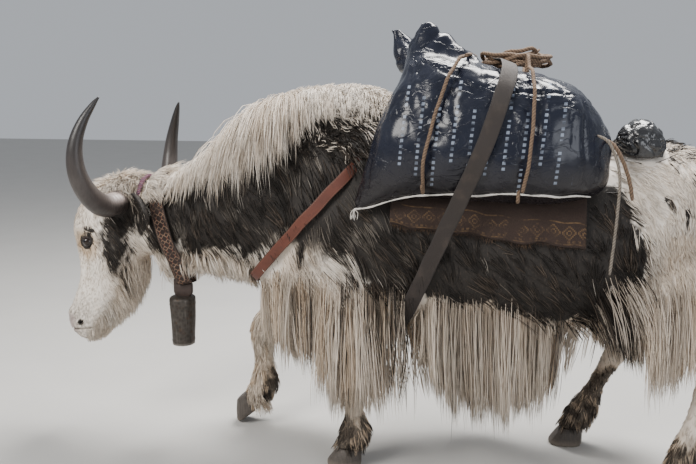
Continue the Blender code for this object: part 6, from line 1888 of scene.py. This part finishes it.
def fold_field(points):
    """Folds that fan out from the rear top corner and from the tied front corner, and along the bottom hem."""
    x, z = points[:, 0], points[:, 2]
    total = np.zeros(len(points))
    for cx, cz, count, reach, seed in ((0.60, 1.24, 17, 0.36, 3), (-0.03, 0.91, 13, 0.26, 5), (0.10, 1.36, 12, 0.24, 8)):
        angle = np.arctan2(z - cz, x - cx)
        distance = np.hypot(x - cx, z - cz)
        bent = angle + 0.35 * distance * np.sin(angle * 3.0 + seed)
        fan = np.abs(np.sin(bent * count * 0.5 + 0.9 * np.sin(bent * 5.0 + seed)))
        depth = 0.55 + 0.45 * np.sin(bent * 7.0 + 2.0 * seed)
        total += depth * (1 - fan) ** 2 * np.clip(1 - distance / reach, 0, 1) * np.clip(distance / 0.05, 0, 1)
    hem = np.clip(1 - (z - 0.90) / 0.09, 0, 1)
    total += 0.7 * hem * (1 - np.abs(np.sin(x * 55.0 + wavy(points, 0.12, 99)))) ** 2
    return total


def sack_finish():
    """Dark glossy woven plastic with fine crinkles, rows of pale printed dashes and a painted brown reflection of the
    ground low down.
    """
    finish = Finish("sack_weave", Roughness=0.26, Specular_IOR_Level=0.30, Coat_Weight=0.16, Coat_Roughness=0.12)
    place = finish.place()
    x, y, z = finish.parts(place)
    tape = ((x * 2100.0).sine() * (z * 2100.0).sine()) * 0.5 + 0.5
    dust = finish.noise(place, 9.0, 5.0, 0.65)
    crinkle = finish.noise(finish.stretched(place, (1.0, 1.0, 1.7)), 11.0, 3.0, 0.55, 0.5)
    crease = 1 - (crinkle - 0.5).size().between(0.0, 0.050)
    fine = finish.noise(place, 60.0, 3.0, 0.55, 0.4)
    body = finish.blend(dust, (0.0035, 0.0045, 0.010), (0.014, 0.017, 0.030))
    # Painted reflection: towards the bottom, fading out by 1.1 m, the plastic is blended towards dark brown, as the
    # ground reflected in its gloss.
    body = finish.blend((1 - z.between(0.94, 1.10)) * 0.75, body, (0.012, 0.009, 0.008))
    column = (((x - z * 0.10) / 0.050).fraction() - 0.5).size()
    index = finish.node("ShaderNodeMath", {"operation": "FLOOR"}, {0: (x - z * 0.10) / 0.050})
    start = (index * 2.399).sine() * 0.045
    rows = ((z + start) / 0.017).fraction()
    dash = (1 - column.between(0.080, 0.100)) * rows.between(0.22, 0.28) * (1 - rows.between(0.74, 0.80))
    long_run = (z + start).between(1.005, 1.010) * (1 - (z + start).between(1.235, 1.240))
    gap = (z + start * 2.0 - 1.135).size().between(0.010, 0.013)
    printed = dash * long_run * gap * y.size().between(0.27, 0.30) * x.between(0.045, 0.055) * (1 - x.between(0.555, 0.575))
    rubbed = finish.noise(place, 34.0, 3.0, 0.5).between(0.25, 0.60)
    finish.colour(finish.blend(printed * rubbed * 0.55, body, (0.36, 0.42, 0.53)))
    finish.feed("Roughness", 0.15 + dust * 0.22 + printed * 0.15)
    finish.bump(crease * 0.8 + fine * 0.45 + tape * 0.03, 0.0020, 0.6)
    return finish


def add_sack(side, name, finish):
    piece = rounded_copy(name, name + "_filled", 0.0155, 0)
    body = piece.vertex_groups.new(name="body")
    for k, share in enumerate(1 - rise(points_of(piece)[:, 2], 1.30, 1.34)):
        body.add([k], float(share), "REPLACE")
    with_modifier(piece, "SMOOTH", factor=0.5, iterations=16, vertex_group="body")
    with_modifier(piece, "SMOOTH", factor=0.5, iterations=2)
    with_modifier(piece, "SUBSURF", levels=1, render_levels=1)
    move_points(piece, bulge(points_of(piece), np.array([0.230, side * 0.185, 1.365]), (0.095, 0.080, 0.080), (0.006, 0, 0.028)))
    spots = points_of(piece)
    ahead = rise(-spots[:, 0], -0.24, -0.04)
    spots[:, 0] -= 0.042 * ahead * (1 - 0.75 * rise(spots[:, 2], 1.12, 1.36))
    spots[:, 2] -= 0.020 * ahead ** 2 * rise(-spots[:, 2], -1.10, -0.95)
    move_points(piece, spots)
    points, normals = points_of(piece), normals_of(piece)
    lumps = 0.0035 * wavy(points, 0.20, 101) + 0.0008 * wavy(points, 0.08, 102)
    folds = 0.0050 * creases(points * (1.0, 1.0, 0.45), 0.16, 103) + 0.0016 * creases(points, 0.07, 104)
    upper = 0.20 + 0.80 * rise(points[:, 2], 1.06, 1.24)
    fans = 0.0090 * fold_field(points)
    move = lumps - folds * upper - fans - rope_press(points, side) - 0.0015
    inner = rise(side * points[:, 1], 0.03, 0.09)
    low = rise(normals[:, 2] * -1, 0.2, 0.8) * (1 - rise(points[:, 2], 0.93, 1.02))
    move = move * inner * (1 - 0.6 * low)
    piece_points = points + normals * move[:, None]
    move_points(piece, piece_points)
    dress(piece, finish)
    return piece


def hem_string(sack, side):
    """The string that closes the sack's bottom edge, drawn along its lowest outer seam."""
    points = points_of(sack)
    down_out = unit(np.array([0.0, side * 0.62, -0.78]))
    line = []
    for x in np.arange(points[:, 0].min() + 0.008, 0.640, 0.020):
        near = points[np.abs(points[:, 0] - x) < 0.014]
        best = near[int(np.argmax(near @ down_out))]
        line.append(np.array([x, best[1], best[2]]) + down_out * 0.0022)
    line = np.array(line)
    for _ in range(2):
        line[1:-1] = (line[:-2] + line[1:-1] * 2 + line[2:]) / 4
    return line


def add_hem(sacks):
    pale_string = rope_finish("string_white", (0.80, 0.77, 0.72), (0.44, 0.40, 0.36), 0.012)
    pieces = []
    for side, sack in sacks.items():
        label = "near" if side == NEAR else "far"
        line = smooth_line(hem_string(sack, side), 0.004)
        piece = own(rope_piece("hem_string_" + label, line, 0.0030, 2, 5.0, 10, fray=0.25))
        strands = []
        rng = np.random.default_rng(7)
        tip = line[0]
        for k in range(9):
            drop = np.array([rng.uniform(-0.012, 0.010), side * rng.uniform(0.0, 0.006), -rng.uniform(0.020, 0.040)])
            mid = tip + drop * 0.5 + np.array([rng.uniform(-0.007, 0.007), 0, 0.004])
            strands.append(rope_piece("strand", smooth_line([tip, mid, tip + drop], 0.006), 0.0012, 2, 5.0, 5))
        tuft = merged("hem_tie_" + label, strands)
        for item in (piece, tuft):
            dress(item, pale_string)
        own(tuft)
        pieces += [piece, tuft]
    return pieces


def merged(name, pieces):
    form = bmesh.new()
    for piece in pieces:
        form.from_mesh(piece.data)
        bpy.data.objects.remove(piece)
    mesh = bpy.data.meshes.new(name)
    form.to_mesh(mesh)
    form.free()
    mesh.shade_smooth()
    made = bpy.data.objects.new(name, mesh)
    bpy.context.scene.collection.objects.link(made)
    return made


def blanket_finish():
    """Dark brown wool with rows of tan stepped diamonds near its hem."""
    finish = Finish("blanket_wool", Roughness=0.95)
    drop, run, place = finish.attribute("drop"), finish.attribute("run"), finish.place()
    yarns = ((run * 1500.0).sine() * (drop * 1500.0).sine()) * 0.5 + 0.5
    fuzz = finish.noise(place, 210.0, 4.0, 0.7)
    wear = finish.noise(place, 24.0, 5.0, 0.68)
    ground = finish.blend(fuzz, (0.010, 0.006, 0.005), (0.046, 0.026, 0.018))
    stepped = finish.node("ShaderNodeMath", {"operation": "SNAP"}, {0: drop, 1: 0.0042})
    across = ((run / 0.046).fraction() - 0.5).size() * 0.046
    across = finish.node("ShaderNodeMath", {"operation": "SNAP"}, {0: across, 1: 0.0042})
    ring = (across + (stepped - 0.040).size() - 0.018).size().least((across + (stepped - 0.040).size() - 0.006).size())
    diamonds = (1 - ring.between(0.0022, 0.0040)) * (1 - (drop - 0.040).size().between(0.024, 0.026))
    stripes = (1 - (drop - 0.0085).size().between(0.0016, 0.0026)).most(1 - (drop - 0.0720).size().between(0.0016, 0.0026))
    bars = ((run / 0.0155).fraction() - 0.5).size().between(0.20, 0.24) * (1 - (drop - 0.0155).size().between(0.003, 0.004))
    tan = finish.blend(fuzz, (0.060, 0.032, 0.014), (0.190, 0.115, 0.055))
    pattern = diamonds.most(stripes).most(bars) * wear.between(0.40, 0.66)
    finish.colour(finish.blend(pattern * 0.9, ground, tan))
    finish.bump(yarns * 0.5 + fuzz + pattern * 0.6, 0.0022, 0.8)
    return finish


def add_blanket():
    """One sheet over the back, from hem to hem, with a wavering lower edge and a fringe."""
    tree = tree_of_nodes(["saddle_blanket"])
    columns, rows = 76, 116
    low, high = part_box("saddle_blanket")
    xs = np.linspace(low[0] + 0.004, high[0] - 0.004, columns)
    lines = []
    for x in xs:
        half = []
        for angle in np.linspace(0.0, 2.1, 120):
            outward = Vector((0, -math.sin(angle), math.cos(angle)))
            hit = tree.ray_cast(Vector((x, 0.0, 0.90)) + outward * 1.2, -outward, 1.15)
            if hit[0] is not None:
                half.append(np.array(hit[0]))
        half = np.array(half)
        half = half[np.argsort(np.arctan2(-half[:, 1], half[:, 2] - 0.90))]
        hem = half[-1] + np.array([0.0, 0.0, -0.004 + 0.006 * math.sin(x * 40.0) * math.sin(x * 17.0)])
        half = np.vstack([half[:-1], hem])
        half[0, 1] = 0.0
        whole = np.vstack([(half * (1, -1, 1))[::-1][:-1], half])
        runs = np.concatenate([[0], np.cumsum(np.linalg.norm(np.diff(whole, axis=0), axis=1))])
        at = np.linspace(0, runs[-1], rows)
        lines.append(np.stack([np.interp(at, runs, whole[:, k]) for k in range(3)], 1))
    lines = np.array(lines)
    for _ in range(4):
        lines[1:-1] = (lines[:-2] + 2 * lines[1:-1] + lines[2:]) / 4
        lines[:, 1:-1] = (lines[:, :-2] + 2 * lines[:, 1:-1] + lines[:, 2:]) / 4
    lengths = np.linalg.norm(np.diff(lines, axis=1), axis=2).sum(1)
    at = np.linspace(0, 1, rows)
    drop = np.minimum(at, 1 - at)[None] * lengths[:, None]
    points = lines.reshape(-1, 3)
    ripple = 0.0060 * np.sin(points[:, 0] * 34.0 + 2.0 * wavy(points, 0.2, 111)) * np.exp(-drop.ravel() / 0.05)
    points = points + np.stack([0 * ripple, np.sign(points[:, 1]) * ripple, 0 * ripple], 1)
    marks = {"drop": drop.ravel(), "run": np.repeat(xs, rows)}
    sheet = mesh_piece("blanket_cloth", points, grid_faces(columns, rows, False, False), marks=marks)
    with_modifier(sheet, "SOLIDIFY", thickness=0.0035, offset=-1.0)
    sheet.data.shade_smooth()
    own(sheet, "saddle_blanket")
    finish = blanket_finish()
    dress(sheet, finish)
    fringe = add_fringe(lines, finish)
    return sheet


def add_fringe(lines, finish):
    """Loose wool along the lower edges, in uneven bunches."""
    rng = np.random.default_rng(17)
    count = 1000
    at = rng.random(count) * (len(lines) - 1)
    low = np.minimum(at.astype(int), len(lines) - 2)
    share = (at - low)[:, None]
    side = rng.integers(0, 2, count)
    ends = np.where(side == 0, 0, lines.shape[1] - 1)
    roots = lines[low, ends] * (1 - share) + lines[low + 1, ends] * share
    long = rng.uniform(0.006, 0.022, count) * (0.6 + 0.6 * rise(wavy(roots, 0.05, 121), -0.6, 1.0))
    way = unit(np.c_[rng.normal(0, 0.25, count), np.sign(roots[:, 1]) * rng.uniform(0.0, 0.30, count), -np.ones(count)])
    path = np.stack([roots + way * (long * k / 3)[:, None] + np.array([0, 0, 0.002]) for k in range(4)], 1)
    uv = np.c_[np.full(count, 0.5), np.full(count, 0.5)]
    marks = {"drop": rng.choice([0.03, 0.0085], count, p=[0.75, 0.25]), "run": rng.random(count)}
    fringe = tuft_mesh("blanket_fringe", path, np.full(count, 0.0009), uv, marks, 18)
    dress(fringe, finish)
    return fringe


def add_bag():
    """A dark plastic bag with gathered ends."""
    piece = rounded_copy("bag", "bag_filled", 0.0070, 5, 1)
    points, normals = points_of(piece), normals_of(piece)
    middle = points.mean(0)
    angle = np.arctan2(points[:, 2] - middle[2], points[:, 1] - middle[1])
    ends = rise(np.abs(points[:, 0] - middle[0]), 0.025, 0.070)
    pleats = 0.0055 * ends * (1 - np.abs(np.sin(angle * 7.0 + wavy(points, 0.08, 131)))) ** 1.5
    folds = 0.0065 * creases(points, 0.085, 132) + 0.0012 * creases(points, 0.040, 133)
    move_points(piece, points - normals * (pleats + folds)[:, None])
    finish = Finish("bag_film", Roughness=0.22, Specular_IOR_Level=0.6, Coat_Weight=0.4, Coat_Roughness=0.12)
    place = finish.place()
    crinkle = finish.noise(place, 20.0, 3.0, 0.55, 0.5)
    crease = 1 - (crinkle - 0.5).size().between(0.0, 0.09)
    dust = finish.noise(place, 18.0, 4.0)
    finish.colour(finish.blend(crease * 0.06 + dust * 0.08, (0.006, 0.006, 0.007), (0.08, 0.08, 0.09)))
    finish.feed("Roughness", 0.16 + dust * 0.22)
    finish.bump(crease, 0.0016, 0.5)
    dress(piece, finish)
    return piece


def add_load():
    finish = sack_finish()
    sacks = {side: add_sack(side, name, finish) for side, name in ((NEAR, "sack_near"), (FAR, "sack_far"))}
    add_hem(sacks)
    add_blanket()
    add_bag()


add_load()


# Floor and light

def add_floor():
    points = np.array([[-14, -9, 0], [14, -9, 0], [14, 14, 0], [-14, 14, 0]], float)
    floor = mesh_piece("floor", points, np.array([[0, 1, 2, 3]]))
    finish = Finish("floor", Roughness=0.9)
    grain = finish.noise(finish.place(), 3.0, 3.0)
    finish.colour(finish.blend(grain, (0.46, 0.45, 0.43), (0.51, 0.50, 0.48)))
    dress(floor, finish)


def add_light(name, spot, aim, size, power, colour):
    lamp = bpy.data.lights.new(name, "AREA")
    lamp.shape = "RECTANGLE"
    lamp.size, lamp.size_y = size
    lamp.energy = power
    lamp.color = colour
    light = bpy.data.objects.new(name, lamp)
    light.location = spot
    light.rotation_euler = (Vector(aim) - Vector(spot)).to_track_quat("-Z", "Y").to_euler()
    bpy.context.scene.collection.objects.link(light)


def add_world():
    world = bpy.data.worlds.new("studio")
    bpy.context.scene.world = world
    world.use_nodes = True
    world.node_tree.nodes["Background"].inputs["Color"].default_value = (0.80, 0.84, 0.90, 1)
    world.node_tree.nodes["Background"].inputs["Strength"].default_value = 0.58


add_floor()
add_light("key", (-2.6, -3.4, 3.6), (0.0, 0.0, 0.7), (2.2, 2.2), 270.0, (1.0, 0.97, 0.92))
add_light("top", (0.6, 1.3, 4.0), (0.2, 0.0, 1.0), (2.6, 1.4), 400.0, (1.0, 0.98, 0.95))
add_light("fill", (3.2, -3.2, 1.8), (0.2, 0.0, 0.7), (2.6, 2.2), 70.0, (0.92, 0.95, 1.0))
add_world()
